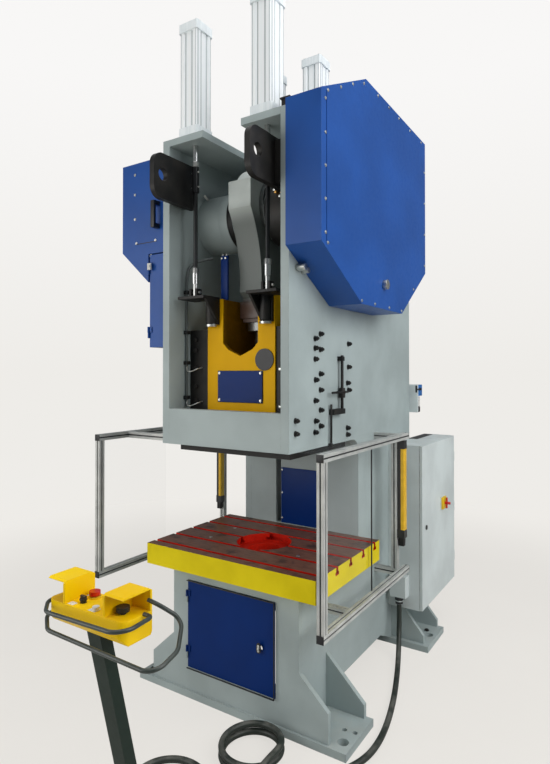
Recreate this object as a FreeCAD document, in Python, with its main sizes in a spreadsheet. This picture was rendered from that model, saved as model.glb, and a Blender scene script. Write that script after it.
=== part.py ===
import FreeCAD, Part
import math
import os
import re

import Sketcher

# Geared C-frame stamping press.  X runs along the crankshaft, the die opening faces -Y, Z is up.
# The origin is the centre of the four floor anchor holes, on the floor.  Every local y below is
# measured from the front face of the frame.

Vector = FreeCAD.Vector
doc = FreeCAD.newDocument("stamping_press")
sheet = doc.addObject("Spreadsheet::Sheet", "Sizes")

# name, millimetres (or a count or degrees), what it is
SIZES = [
    ("frame_width", 784, "outside width over the two side plates"),
    ("side_thick", 45, "thickness of a side plate"),
    ("frame_depth", 1595, "front of the head to the back of the frame"),
    ("head_underside", 1342, "floor to the underside of the head"),
    ("frame_top", 2943, "floor to the top of the side plates"),
    ("crown_run", 1000, "length of the level top of a side plate"),
    ("crown_drop", 430, "fall of the sloping rear top of a side plate"),
    ("throat_depth", 750, "front of the frame to the back of the throat"),
    ("throat_round", 70, "corner radius of the throat"),
    ("arch_height", 70, "height of the arch under a side plate"),
    ("foot_thick", 36, "thickness of the foot plates"),
    ("foot_width", 1275, "width of the foot plates"),
    ("front_foot_depth", 306, "depth of the front foot plate"),
    ("rear_foot_depth", 328, "depth of the rear foot plate"),
    ("foot_front", 76, "front foot plate behind the front of the frame"),
    ("rear_foot_inset", 45, "back of the frame behind the back edge of the rear foot plate"),
    ("anchor_span_x", 1180, "anchor hole spacing across"),
    ("anchor_back", 163, "rear anchor holes before the back edge of the rear foot plate"),
    ("anchor_front", 147, "front anchor holes behind the front of the frame"),
    ("anchor_hole", 52, "anchor hole diameter"),
    ("base_front", 88, "front plate of the base behind the front of the frame"),
    ("base_thick", 25, "thickness of the front plate of the base"),
    ("ear_reach", 152, "reach of a flared ear of the base beyond the side plate"),
    ("ear_low", 175, "height of the outer end of an ear"),
    ("ear_high", 312, "height at which an ear leaves the side plate"),
    ("gusset_thick", 25, "thickness of a foot gusset"),
    ("gusset_reach", 208, "reach of a foot gusset beyond the side plate"),
    ("gusset_low", 100, "height of the outer end of a front gusset"),
    ("gusset_high", 300, "height at which a front gusset leaves the side plate"),
    ("table_top", 791, "floor to the top of the die table"),
    ("table_thick", 109, "thickness of the die table"),
    ("table_width", 1040, "width of the die table"),
    ("table_depth", 730, "depth of the die table"),
    ("table_front", 15, "front of the die table behind the front of the frame"),
    ("slot_pitch", 150, "pitch of the T-slots"),
    ("slot_mouth", 22, "width of a T-slot at the surface"),
    ("slot_neck", 22, "depth of the narrow part of a T-slot"),
    ("slot_head", 38, "width of the wide part of a T-slot"),
    ("slot_deep", 38, "full depth of a T-slot"),
    ("table_recess", 300, "diameter of the recess in the table"),
    ("recess_deep", 40, "depth of the recess in the table"),
    ("slug_hole", 180, "diameter of the slug hole under the recess"),
    ("bed_thick", 60, "thickness of the bed plate under the table"),
    ("apron_height", 184, "height of the crosspiece in front of the slide"),
    ("apron_thick", 45, "thickness of that crosspiece"),
    ("crown_thick", 35, "thickness of the crown plate that carries the cylinders"),
    ("crown_gap", 240, "gap in the crown plate over the connecting rod"),
    ("crown_back", 600, "depth of that gap"),
    ("crown_depth", 850, "depth of the crown plate"),
    ("lug_thick", 30, "thickness of a lifting lug"),
    ("lug_front", 185, "reach of a lifting lug in front of the frame"),
    ("lug_back", 120, "length of a lifting lug behind the front of the frame"),
    ("lug_low", 2588, "lower edge of a lifting lug"),
    ("lug_high", 2818, "upper edge of a lifting lug"),
    ("lug_spacer", 42, "spacer between a lifting lug and its side plate"),
    ("lug_hole", 64, "hole in a lifting lug"),
    ("lug_round", 60, "corner radius of a lifting lug"),
    ("crank_y", 385, "crankshaft axis behind the front of the frame"),
    ("crank_z", 2560, "height of the crankshaft axis"),
    ("stroke", 160, "stroke of the slide"),
    ("boss_dia", 330, "diameter of a crank bearing boss"),
    ("boss_gap", 6.5, "crank cheek to the bearing boss"),
    ("journal_dia", 180, "diameter of a crank journal"),
    ("cheek_thick", 24, "thickness of a crank cheek"),
    ("pin_dia", 210, "diameter of the crank pin"),
    ("running_gap", 0.3, "clearance between turning surfaces"),
    ("rod_width", 141, "width of the connecting rod"),
    ("big_end_dia", 380, "diameter of the big end"),
    ("big_end_reach", 235, "reach of the bolting blocks from the pin axis"),
    ("block_height", 72, "height of a bolting block above or below the split"),
    ("rod_foot", 1985, "height of the foot of the connecting rod"),
    ("rod_foot_half", 105, "half depth of the foot of the connecting rod"),
    ("rod_waist", 136, "half depth of the rod above the slide"),
    ("screw_dia", 110, "diameter of the ball screw"),
    ("ball_dia", 130, "diameter of the ball"),
    ("ball_z", 1790, "height of the ball centre at top dead centre"),
    ("slide_width", 430, "width of the slide"),
    ("slide_front", 157, "front face of the slide behind the front of the frame"),
    ("slide_depth", 456, "depth of the slide"),
    ("slide_top", 2103, "top of the slide at top dead centre"),
    ("slide_low", 1340, "underside of the slide body at top dead centre"),
    ("slide_wall", 32, "wall of the slide in front of and behind the ball"),
    ("slide_cheek", 90, "side wall of the slide"),
    ("slide_floor", 1690, "floor of the pocket in the slide"),
    ("window_half", 112, "half width of the window in the slide"),
    ("window_low", 1800, "lowest point of the window"),
    ("window_shoulder", 1868, "height where the window starts to narrow"),
    ("ram_plate_thick", 38, "thickness of the plate under the slide"),
    ("ram_plate_clear", 2, "plate under the slide to the inside of each side plate"),
    ("ram_plate_front", 88, "front edge of that plate"),
    ("ram_plate_depth", 590, "depth of that plate"),
    ("shank_dia", 50, "tool shank hole"),
    ("name_plate_width", 282, "width of the blue plate on the slide"),
    ("name_plate_height", 160, "height of the blue plate"),
    ("name_plate_low", 1562, "lower edge of the blue plate"),
    ("name_plate_thick", 6, "thickness of the blue plate"),
    ("vent_dia", 104, "diameter of the round vent in the slide"),
    ("vent_x", 153, "vent to the middle of the slide"),
    ("vent_z", 1780, "height of the vent"),
    ("gib_gap", 0.5, "clearance of the slide in its gibs"),
    ("gib_front", 166, "front of the gibs behind the front of the frame"),
    ("gib_depth", 430, "depth of the gibs"),
    ("gib_top", 1945, "top of the gibs"),
    ("cylinder_square", 128, "section of a balance cylinder"),
    ("cylinder_height", 592, "height of a balance cylinder"),
    ("cap_height", 46, "height of a cylinder cap"),
    ("barrel_inset", 5, "barrel set in from the cap"),
    ("cylinder_bore", 100, "bore of a balance cylinder"),
    ("front_cylinder_x", 228, "front cylinders off the middle"),
    ("front_cylinder_y", 71, "front cylinders behind the front of the frame"),
    ("rear_cylinder_x", 149, "rear cylinders off the middle"),
    ("rear_cylinder_y", 699, "rear cylinders behind the front of the frame"),
    ("piston_rod_dia", 28, "diameter of a piston rod"),
    ("pull_rod_dia", 23, "diameter of a pull rod"),
    ("coupling_dia", 38, "diameter of a rod coupling"),
    ("coupling_low", 2662, "lower end of a coupling"),
    ("coupling_high", 2795, "upper end of a coupling"),
    ("rod_end_low", 2150, "lower end of the polished rod end"),
    ("rod_end_high", 2262, "upper end of the polished rod end"),
    ("bracket_top", 2112, "top of a balance bracket"),
    ("bracket_thick", 15, "plate thickness of a balance bracket"),
    ("bracket_low", 1962, "lower end of a balance bracket"),
    ("gear_teeth", 48, "teeth of the main gear"),
    ("pinion_teeth", 12, "teeth of the pinion"),
    ("gear_module", 16, "tooth module"),
    ("gear_width", 96, "face width of the gear"),
    ("gear_start", 24, "gear to the outside of the side plate"),
    ("pinion_shaft_dia", 90, "diameter of the pinion shaft"),
    ("clutch_dia", 280, "diameter of the clutch disc beside the flywheel"),
    ("clutch_width", 60, "width of the clutch disc"),
    ("flywheel_dia", 620, "diameter of the flywheel"),
    ("flywheel_width", 140, "width of the flywheel rim"),
    ("flywheel_start", 48, "flywheel to the outside of the side plate"),
    ("pulley_dia", 160, "diameter of the motor pulley"),
    ("motor_back", 265, "motor axis before the back of the frame"),
    ("motor_dia", 240, "diameter of the motor"),
    ("motor_length", 380, "length of the motor"),
    ("motor_shaft_dia", 38, "diameter of the motor shaft"),
    ("belt_thick", 14, "thickness of the belt"),
    ("cover_reach", 183, "reach of the gear cover beyond the side plate"),
    ("cover_wall", 4, "sheet thickness of the covers"),
    ("cover_front", 30, "reach of the gear cover in front of the frame"),
    ("left_cover_reach", 434, "reach of the flywheel cover beyond the side plate"),
    ("left_cover_front", 110, "front of the flywheel cover behind the front of the frame"),
    ("left_cover_back", 155, "back of the flywheel cover before the back of the frame"),
    ("left_cover_top", 2926, "top of the flywheel cover"),
    ("left_cover_shoulder", 2416, "height where its outer side turns in"),
    ("left_cover_low", 2229, "underside of the flywheel cover"),
    ("valve_box_reach", 204, "reach of the valve box beyond the side plate"),
    ("valve_box_front", 104, "front of the valve box behind the front of the frame"),
    ("valve_box_depth", 190, "depth of the valve box"),
    ("valve_box_low", 1857, "underside of the valve box"),
    ("valve_box_high", 2380, "top of the valve box"),
    ("door_thick", 16, "thickness of the doors"),
    ("door_gap", 3, "gap around a door"),
    ("profile", 36, "section of the aluminium guard profile"),
    ("profile_slot", 8, "slot in the guard profile"),
    ("profile_slot_deep", 9, "depth of that slot"),
    ("guard_low", 528, "underside of the guards"),
    ("guard_high", 1355, "top of the guards"),
    ("guard_front", 2, "front of the guards before the front of the frame"),
    ("right_guard_length", 1081, "length of the right guard"),
    ("right_guard_reach", 571, "outside of the right guard off the middle"),
    ("right_rear_post", 974, "rear post of the right guard behind the front of the frame"),
    ("right_front_arm", 300, "front arm of the right guard behind the front of the frame"),
    ("left_guard_length", 1193, "length of the left guard"),
    ("left_guard_reach", 926, "outside of the left guard off the middle"),
    ("left_rear_post", 1155, "rear post of the left guard behind the front of the frame"),
    ("left_front_arm", 211, "upper arm of the left guard behind the front of the frame"),
    ("panel_length", 503, "length of a clear panel beside the die space"),
    ("panel_thick", 5, "thickness of the clear panels"),
    ("curtain_square", 44, "section of a light curtain"),
    ("curtain_low", 748, "lower end of a light curtain"),
    ("curtain_high", 1316, "upper end of a light curtain"),
    ("cabinet_depth", 200, "reach of the control cabinet"),
    ("cabinet_front", 1205, "front side of the cabinet behind the front of the frame"),
    ("cabinet_width", 715, "width of the cabinet"),
    ("cabinet_low", 250, "underside of the cabinet"),
    ("cabinet_height", 1012, "height of the cabinet"),
    ("switch_y", 1625, "main switch behind the front of the frame"),
    ("switch_z", 838, "height of the main switch"),
    ("lock_y", 1285, "cabinet lock behind the front of the frame"),
    ("lock_z", 748, "height of the cabinet lock"),
    ("base_door_x", -14, "middle of the door in the base off the middle"),
    ("base_door_half", 274, "half width of the door in the base"),
    ("base_door_low", 158, "lower edge of the door in the base"),
    ("base_door_high", 613, "upper edge of the door in the base"),
    ("base_lock_x", 177, "door lock off the middle"),
    ("base_lock_z", 377, "height of the door lock"),
    ("hinge_dia", 12, "diameter of the hinge barrels"),
    ("hinge_length", 64, "length of a hinge"),
    ("knuckle_gap", 0.3, "clearance between the two halves of a hinge"),
    ("hinge_out", 7, "hinge axis in front of the face of its door"),
    ("desk_x", 290, "middle of the control desk off the middle of the press"),
    ("desk_y", -983, "middle of the control desk before the frame"),
    ("desk_width", 350, "width of the control desk"),
    ("desk_depth", 118, "depth of the control desk"),
    ("desk_low", 912, "underside of the control desk"),
    ("desk_height", 74, "height of the control desk"),
    ("desk_wall", 5, "wall of the control desk"),
    ("desk_round", 26, "corner radius of the control desk"),
    ("hood_width", 86, "width of a hood over a palm button"),
    ("hood_height", 70, "height of a hood"),
    ("palm_dia", 42, "diameter of a palm button"),
    ("palm_inset", 55, "palm button to the end of the desk"),
    ("stop_dia", 36, "diameter of the stop button"),
    ("button_stem_dia", 20, "diameter of a button stem"),
    ("button_travel", 6, "travel of a button"),
    ("post_x", 312, "middle of the desk post off the middle of the press"),
    ("post_y", -1000, "desk post before the frame, at the desk"),
    ("post_width", 60, "width of the desk post"),
    ("post_depth", 42, "depth of the desk post"),
    ("post_gland_z", 62, "middle of the cable gland on the desk post"),
    ("post_lean", 13, "lean of the desk post in degrees"),
    ("post_foot_width", 300, "width of the foot of the desk post"),
    ("post_foot_depth", 360, "depth of the foot of the desk post"),
    ("post_foot_thick", 14, "thickness of the foot of the desk post"),
    ("rail_dia", 13, "diameter of the tube rails on the desk"),
    ("socket_box_x", 473, "middle of the cable box off the middle of the press"),
    ("socket_box_width", 104, "width of the cable box"),
    ("socket_box_depth", 60, "depth of the cable box, on the side of the cabinet"),
    ("socket_box_low", 330, "underside of the cable box"),
    ("socket_box_height", 130, "height of the cable box"),
    ("gland_dia", 44, "diameter of the cable gland"),
    ("gland_length", 46, "length of the cable gland"),
    ("cable_dia", 30, "diameter of the control cable"),
    ("coil_radius", 136, "radius of the coil at the middle of its turns"),
    ("coil_pitch", 35.5, "rise of the coil in one turn"),
    ("coil_turns", 1.75, "turns of the coil"),
    ("coil_x", 263, "middle of the coil off the middle of the press"),
    ("coil_y", -111, "middle of the coil before the frame"),
    ("lube_low", 1440, "underside of the lubricator"),
    ("lube_dia", 96, "diameter of the lubricator reservoir"),
]

NAMES = {name for name, value, note in SIZES}
for row, (name, value, note) in enumerate(SIZES, start=1):
    sheet.set("A%d" % row, note)
    sheet.set("B%d" % row, str(value))
    sheet.setAlias("B%d" % row, name)
doc.recompute()

WORD = re.compile(r"[a-z_]+[a-z0-9_]*")


def bound(text):
    """An expression on the sheet's names, ready for setExpression."""
    return WORD.sub(lambda m: "Sizes." + m.group(0) if m.group(0) in NAMES else m.group(0), str(text))


def number(text):
    """The value of such an expression."""
    return float(sheet.evalExpression(bound(text)))


# Places worked out from the sizes above.
HALF = "frame_width / 2"
INNER = "(frame_width / 2 - side_thick)"
FOOT_BACK = "(frame_depth - rear_foot_inset)"
ANCHOR_SPAN = "(%s - anchor_back - anchor_front)" % FOOT_BACK
FRONT = "(0 - anchor_front - %s / 2)" % ANCHOR_SPAN
BOSS_REACH = "(%s - rod_width / 2 - 1 - cheek_thick - boss_gap)" % INNER
MOTOR_Y = "(frame_depth - motor_back)"
PIN_Z = "(crank_z + stroke / 2)"
SHAFT_Y = "(crank_y + gear_module * (gear_teeth + pinion_teeth) / 2)"
BED_TOP = "(table_top - table_thick)"
HEAD_TOP = "(frame_top - crown_thick)"
SLIDE_BACK = "(slide_front + slide_depth)"
PLANES = {"XY": "XY_Plane", "XZ": "XZ_Plane", "YZ": "YZ_Plane"}
TURN_X = FreeCAD.Rotation(Vector(0, 1, 0), 90)


def piece(label, x="0", y="0", z="0"):
    """A body whose local origin is (x, y, z), with y from the front face of the frame."""
    made = doc.addObject("PartDesign::Body", label)
    made.Label = label
    place(made, x, y, z)
    return made


def place(item, x="0", y="0", z="0"):
    item.setExpression("Placement.Base.x", bound(x))
    item.setExpression("Placement.Base.y", bound("%s + %s" % (FRONT, y)))
    item.setExpression("Placement.Base.z", bound(z))


def drawing(body, plane, shapes, start="0"):
    """A sketch on an origin plane, moved out by start along +X, +Y or +Z.

    shapes holds lists of corner points (x, y) and circles ("circle", x, y, radius)."""
    sketch = body.newObject("Sketcher::SketchObject", body.Name + "_sketch")
    role = PLANES[plane]
    origin_plane = [item for item in body.Origin.OriginFeatures if item.Role == role][0]
    sketch.AttachmentSupport = [(origin_plane, "")]
    sketch.MapMode = "FlatFace"
    sign = "-" if plane == "XZ" else ""
    sketch.setExpression("AttachmentOffset.Base.z", bound("%s(%s)" % (sign, start)) if sign
                         else bound(start))
    for shape in shapes:
        if shape[0] == "circle":
            draw_circle(sketch, *shape[1:])
        else:
            draw_corners(sketch, shape)
    return sketch


def pin_down(sketch, geometry, point, x, y):
    for kind, text in (("DistanceX", x), ("DistanceY", y)):
        index = sketch.addConstraint(Sketcher.Constraint(kind, -1, 1, geometry, point, number(text)))
        sketch.setExpression("Constraints[%d]" % index, bound(text))


def draw_circle(sketch, x, y, radius):
    centre = Vector(number(x), number(y), 0)
    index = sketch.addGeometry(Part.Circle(centre, Vector(0, 0, 1), number(radius)))
    pin_down(sketch, index, 3, x, y)
    ring = sketch.addConstraint(Sketcher.Constraint("Radius", index, number(radius)))
    sketch.setExpression("Constraints[%d]" % ring, bound(radius))


def draw_corners(sketch, corners):
    spots = [Vector(number(x), number(y), 0) for x, y in corners]
    first = sketch.GeometryCount
    for here, there in zip(spots, spots[1:] + spots[:1]):
        sketch.addGeometry(Part.LineSegment(here, there))
    count = len(corners)
    for step in range(count):
        following = first + (step + 1) % count
        sketch.addConstraint(Sketcher.Constraint("Coincident", first + step, 2, following, 1))
    for step, (x, y) in enumerate(corners):
        pin_down(sketch, first + step, 1, x, y)


def box_outline(x0, y0, x1, y1):
    return [(x0, y0), (x1, y0), (x1, y1), (x0, y1)]


def pad(body, plane, shapes, length, start="0"):
    """Adds material from start towards +X, +Y or +Z."""
    made = body.newObject("PartDesign::Pad", body.Name + "_pad")
    made.Profile = drawing(body, plane, shapes, start)
    made.setExpression("Length", bound(length))
    made.Reversed = plane == "XZ"
    doc.recompute()
    return made


def pocket(body, plane, shapes, length, start="0"):
    """Takes material away from start towards +X, +Y or +Z."""
    made = body.newObject("PartDesign::Pocket", body.Name + "_pocket")
    made.Profile = drawing(body, plane, shapes, start)
    made.Type = "Length"
    made.setExpression("Length", bound(length))
    made.Reversed = plane != "XZ"
    before = body.Shape.Volume
    doc.recompute()
    if not body.Shape.Volume < before:
        raise RuntimeError("%s cuts nothing from %s" % (made.Name, body.Label))
    return made


def barrel(body, x, y, z, leaf):
    """Half of a hinge: a short barrel about Z at (x, y) and the leaf that carries it."""
    pad(body, "XY", [("circle", x, y, "hinge_dia / 2")], "(hinge_length - knuckle_gap) / 2", z)
    pad(body, "XY", [box_outline(*leaf)], "(hinge_length - knuckle_gap) / 2", z)


def round_edges(body, axis, radius, wanted):
    """Fillets the straight edges along an axis whose middle point satisfies wanted."""
    base = body.Tip
    names = []
    for index, edge in enumerate(base.Shape.Edges, start=1):
        if not isinstance(edge.Curve, Part.Line):
            continue
        along = edge.Curve.Direction
        if abs(getattr(along, axis)) > 0.99 and wanted(edge.CenterOfMass):
            names.append("Edge%d" % index)
    made = body.newObject("PartDesign::Fillet", body.Name + "_round")
    made.Base = (base, names)
    made.setExpression("Radius", bound(radius))
    doc.recompute()
    return made


def cylinder(name, radius, length, x, y, z, axis="Z"):
    """A bound Part cylinder that runs from (x, y, z) along +Z or +X."""
    made = doc.addObject("Part::Cylinder", name)
    made.setExpression("Radius", bound(radius))
    made.setExpression("Height", bound(length))
    place(made, x, y, z)
    if axis == "X":
        made.Placement = FreeCAD.Placement(made.Placement.Base, TURN_X)
    return made


def fuse(label, parts):
    made = doc.addObject("Part::MultiFuse", label)
    made.Label = label
    made.Shapes = parts
    made.Refine = True
    return made


def pair(label, body):
    """A piece on the right and its mirror image on the left, in one node."""
    mirrored = doc.addObject("Part::Mirroring", label + "_mirror")
    mirrored.Source = body
    mirrored.Normal = Vector(1, 0, 0)
    both = doc.addObject("Part::Compound", label)
    both.Label = label
    both.Links = [body, mirrored]
    return both


def shaped(label, solids):
    """A piece, or a group of like fasteners, made from finished solids."""
    made = doc.addObject("Part::Feature", label)
    made.Label = label
    made.Shape = solids[0] if len(solids) == 1 else Part.makeCompound(solids)
    return made


def at(x, y, z):
    """A point from values in millimetres, with y from the front face of the frame."""
    return Vector(x, y + number(FRONT), z)


# ---------------------------------------------------------------- frame

def side_plate(label, x, boss_x, boss_start):
    """C-shaped side plate with the crank bearing boss welded to its inner face."""
    body = piece(label, x)
    bottom = "foot_thick"
    outline = [
        ("0", "head_underside"), ("0", "frame_top"), ("crown_run", "frame_top"),
        ("frame_depth", "frame_top - crown_drop"), ("frame_depth", bottom),
        (FOOT_BACK + " - rear_foot_depth", bottom),
        (FOOT_BACK + " - rear_foot_depth - 150", "%s + arch_height" % bottom),
        ("foot_front + front_foot_depth + 150", "%s + arch_height" % bottom),
        ("foot_front + front_foot_depth", bottom), ("base_front + base_thick", bottom),
        ("base_front + base_thick", BED_TOP), ("throat_depth", BED_TOP),
        ("throat_depth", "head_underside"),
    ]
    pad(body, "YZ", [outline], "side_thick")
    pad(body, "YZ", [[("circle", "crank_y", "crank_z", "boss_dia / 2")][0]], BOSS_REACH, boss_start)
    pocket(body, "YZ", [("circle", "crank_y", "crank_z", "journal_dia / 2 + running_gap")],
           "side_thick + 20 + " + BOSS_REACH, boss_x)
    pocket(body, "YZ", [("circle", SHAFT_Y, "crank_z", "pinion_shaft_dia / 2 + running_gap")],
           "side_thick + 2", "-1")
    depth = number("throat_depth")
    high = number("head_underside")
    round_edges(body, "x", "throat_round", lambda p: abs(p.y - depth) < 1 and abs(p.z - high) < 1)
    return body


def make_frame():
    side_plate("side_plate_right", INNER, "-%s - 10" % BOSS_REACH, "0 - " + BOSS_REACH)
    left = side_plate("side_plate_left", "-" + HALF, "-10", "side_thick")
    pocket(left, "YZ", [("circle", MOTOR_Y, "crank_z", "motor_shaft_dia / 2 + 3")],
           "side_thick + 2", "-1")

    apron = piece("front_apron", "-" + INNER, "0", "head_underside")
    pad(apron, "XZ", [box_outline("0", "0", "2 * " + INNER, "apron_height")], "apron_thick")

    crown = piece("crown_plate", "-" + INNER, "0", HEAD_TOP)
    middle = INNER
    pad(crown, "XY", [[
        ("0", "0"), (middle + " - crown_gap / 2", "0"), (middle + " - crown_gap / 2", "crown_back"),
        (middle + " + crown_gap / 2", "crown_back"), (middle + " + crown_gap / 2", "0"),
        ("2 * " + middle, "0"), ("2 * " + middle, "crown_depth"), ("0", "crown_depth"),
    ]], "crown_thick")
    holes = []
    for x in ("front_cylinder_x", "-front_cylinder_x"):
        holes.append(("circle", "%s + %s" % (middle, x), "front_cylinder_y", "piston_rod_dia / 2 + 1"))
    for x in ("rear_cylinder_x", "-rear_cylinder_x"):
        holes.append(("circle", "%s + %s" % (middle, x), "rear_cylinder_y", "piston_rod_dia / 2 + 1"))
    pocket(crown, "XY", holes, "crown_thick + 2", "-1")

    # Throat wall, bed plate and back wall, welded into one column between the side plates.
    column = piece("column_weldment", "-" + INNER)
    wide = "2 * " + INNER
    wall = "25"
    low = "(%s - bed_thick)" % BED_TOP
    back = "(frame_depth - %s)" % wall
    pad(column, "YZ", [[
        ("base_front + base_thick", low), ("throat_depth + %s" % wall, low),
        ("throat_depth + %s" % wall, "head_underside + 180"), (back, "head_underside + 180"),
        (back, "foot_thick"), ("frame_depth", "foot_thick"), ("frame_depth", "frame_top - crown_drop - 20"),
        (back, "frame_top - crown_drop - 20"), (back, "head_underside + 205"),
        ("throat_depth", "head_underside + 205"), ("throat_depth", BED_TOP),
        ("base_front + base_thick", BED_TOP),
    ]], wide)
    # Slot in the throat wall, with round ends.
    pocket(column, "XZ", [box_outline("186", "%s + 112" % BED_TOP, "222", "head_underside - 40")],
           "60", "throat_depth - 10")
    # Slug hole in the bed plate and a hand opening in the back wall.
    pocket(column, "XY", [("circle", INNER, "table_front + table_depth / 2", "slug_hole / 2")],
           "bed_thick + 2", "%s - 1" % low)
    pocket(column, "XZ", [box_outline("150", "700", "%s - 150" % wide, "1200")], "60",
           "frame_depth - 40")

    make_base()
    make_lugs()


def make_base():
    """Front plate of the base with its flared ears and the front foot plate, one weldment."""
    base = piece("base_front", "0", "foot_front")
    inner = "base_front - foot_front"
    half = HALF
    reach = "(%s + ear_reach)" % HALF
    pad(base, "XY", [box_outline("-foot_width / 2", "0", "foot_width / 2", "front_foot_depth")],
        "foot_thick")
    face = [
        ("-" + reach, "foot_thick"), (reach, "foot_thick"), (reach, "ear_low"), (half, "ear_high"),
        (half, BED_TOP), ("-" + half, BED_TOP), ("-" + half, "ear_high"), ("-" + reach, "ear_low"),
    ]
    door = box_outline("base_door_x - base_door_half - door_gap", "base_door_low - door_gap",
                       "base_door_x + base_door_half + door_gap", "base_door_high + door_gap")
    pad(base, "XZ", [face, door], "base_thick", inner)
    end = "(%s + gusset_reach)" % HALF
    for side in ("", "-"):
        gusset = [
            (side + half, "foot_thick"), (side + end, "foot_thick"),
            (side + end, "gusset_low"), (side + half, "gusset_high"),
        ]
        pad(base, "XZ", [gusset], "gusset_thick", "front_foot_depth - gusset_thick")
    line = "base_door_x - base_door_half - door_gap / 2"
    axis = inner + " - 4 - hinge_out"
    for low in ("base_door_low + 50", "base_door_high - 50 - hinge_length"):
        barrel(base, line, axis, low, (line + " - 20", axis + " + 2", line, inner + " + 2"))
    anchors = []
    for side in ("", "-"):
        anchors.append(("circle", side + "anchor_span_x / 2", "anchor_front - foot_front",
                        "anchor_hole / 2"))
        anchors.append(("circle", side + "anchor_span_x / 2 - 34", "anchor_front - foot_front + 84", "12"))
        anchors.append(("circle", side + "anchor_span_x / 2 + 18", "anchor_front - foot_front + 90", "12"))
    pocket(base, "XY", anchors, "foot_thick + 2", "-1")

    rear = piece("rear_foot", "0", FOOT_BACK + " - rear_foot_depth")
    pad(rear, "XY", [box_outline("-foot_width / 2", "0", "foot_width / 2", "rear_foot_depth")],
        "foot_thick")
    middle = "(%s + gusset_reach / 3)" % HALF
    for start in ("30", "rear_foot_depth - gusset_thick"):
        for side in ("", "-"):
            gusset = [
                (side + half, "foot_thick"), (side + end, "foot_thick"),
                (side + end, "gusset_low - 20"), (side + middle, "cabinet_low - 5"),
                (side + half, "cabinet_low - 5"),
            ]
            pad(rear, "XZ", [gusset], "gusset_thick", start)
    row = "rear_foot_depth - anchor_back"
    anchors = [("circle", side + "anchor_span_x / 2", row, "anchor_hole / 2") for side in ("", "-")]
    pocket(rear, "XY", anchors, "foot_thick + 2", "-1")


def make_lugs():
    """Lifting lugs, each on a spacer against the inner face of its side plate."""
    lug = piece("lug", INNER + " - lug_spacer - lug_thick")
    pad(lug, "YZ", [box_outline("-lug_front", "lug_low", "lug_back", "lug_high")], "lug_thick")
    pad(lug, "YZ", [box_outline("20", "lug_low + 15", "lug_back", "lug_high - 15")], "lug_spacer",
        "lug_thick")
    pocket(lug, "YZ", [("circle", "lug_hole - lug_front", "(lug_low + lug_high) / 2 + 9",
                        "lug_hole / 2")], "lug_thick + 2", "-1")
    reach = number("lug_front")
    round_edges(lug, "x", "lug_round", lambda p: abs(p.y + reach) < 1)
    pair("lifting_lugs", lug)


def make_table():
    """Die table with T-slots across its width and a round recess over the slug hole."""
    table = piece("die_table", "0", "table_front", BED_TOP)
    pad(table, "XY", [box_outline("-table_width / 2", "0", "table_width / 2", "table_depth")],
        "table_thick")
    slots = []
    for step in (-2, -1, 0, 1, 2):
        middle = "table_depth / 2 + %d * slot_pitch" % step
        slots.append([
            (middle + " - slot_mouth / 2", "table_thick + 1"),
            (middle + " - slot_mouth / 2", "table_thick - slot_neck"),
            (middle + " - slot_head / 2", "table_thick - slot_neck"),
            (middle + " - slot_head / 2", "table_thick - slot_deep"),
            (middle + " + slot_head / 2", "table_thick - slot_deep"),
            (middle + " + slot_head / 2", "table_thick - slot_neck"),
            (middle + " + slot_mouth / 2", "table_thick - slot_neck"),
            (middle + " + slot_mouth / 2", "table_thick + 1"),
        ])
    pocket(table, "YZ", slots, "table_width + 2", "-table_width / 2 - 1")
    pocket(table, "XY", [("circle", "0", "table_depth / 2", "table_recess / 2")],
           "recess_deep + 1", "table_thick - recess_deep")
    pocket(table, "XY", [("circle", "0", "table_depth / 2", "slug_hole / 2")],
           "table_thick + 2", "-1")


def make_gibs():
    """Guide bars between the side plates and the slide."""
    wide = "(%s - slide_width / 2 - gib_gap)" % INNER
    high = "gib_top - head_underside"
    gib = piece("gib", "slide_width / 2 + gib_gap", "gib_front", "head_underside")
    pad(gib, "XY", [box_outline("0", "0", wide, "gib_depth")], high)
    pocket(gib, "XY", [box_outline("90", "120", wide + " + 1", "gib_depth - 60")],
           high + " + 2", "-1")
    pair("gibs", gib)


# ---------------------------------------------------------------- crank drive

def make_crankshaft():
    """Two journals, two cheeks and the crank pin, turned and forged as one piece."""
    pin_gap = "(rod_width / 2 + 1)"
    cheek_low = "(0 - %s - cheek_thick)" % pin_gap
    outside = "(%s + 2)" % HALF
    left = cylinder("crank_left", "journal_dia / 2", "%s + %s" % (outside, cheek_low),
                    "-" + outside, "crank_y", "crank_z", "X")
    right_end = "(%s + gear_start + gear_width)" % HALF
    right = cylinder("crank_right", "journal_dia / 2", "%s + %s" % (right_end, cheek_low),
                     "-" + cheek_low, "crank_y", "crank_z", "X")
    cheeks = []
    for name, x in (("cheek_left", cheek_low), ("cheek_right", pin_gap)):
        cheeks.append(cylinder(name, "boss_dia / 2 - 5", "cheek_thick", x, "crank_y",
                               "crank_z + stroke / 4", "X"))
    pin = cylinder("crank_pin", "pin_dia / 2", "-2 * (%s + 4)" % cheek_low, cheek_low + " + 4",
                   "crank_y", PIN_Z, "X")
    fuse("crankshaft", [left, right, pin] + cheeks)


def tooth_outline(teeth, module, root_gap, width_share):
    """Corner points of a straight-flanked gear around the origin."""
    pitch = teeth * module / 2
    radii = (pitch - 1.25 * module, pitch + module)
    step = 2 * math.pi / teeth
    points = []
    for tooth in range(teeth):
        middle = tooth * step
        root_half = step * (width_share + 0.13) / 2
        tip_half = step * (width_share - 0.20) / 2
        for radius, angle in ((radii[0], -root_half), (radii[1], -tip_half),
                              (radii[1], tip_half), (radii[0], root_half)):
            reach = radius - (root_gap if radius == radii[1] else 0)
            points.append(Vector(0, reach * math.sin(middle + angle), reach * math.cos(middle + angle)))
    return points


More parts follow.
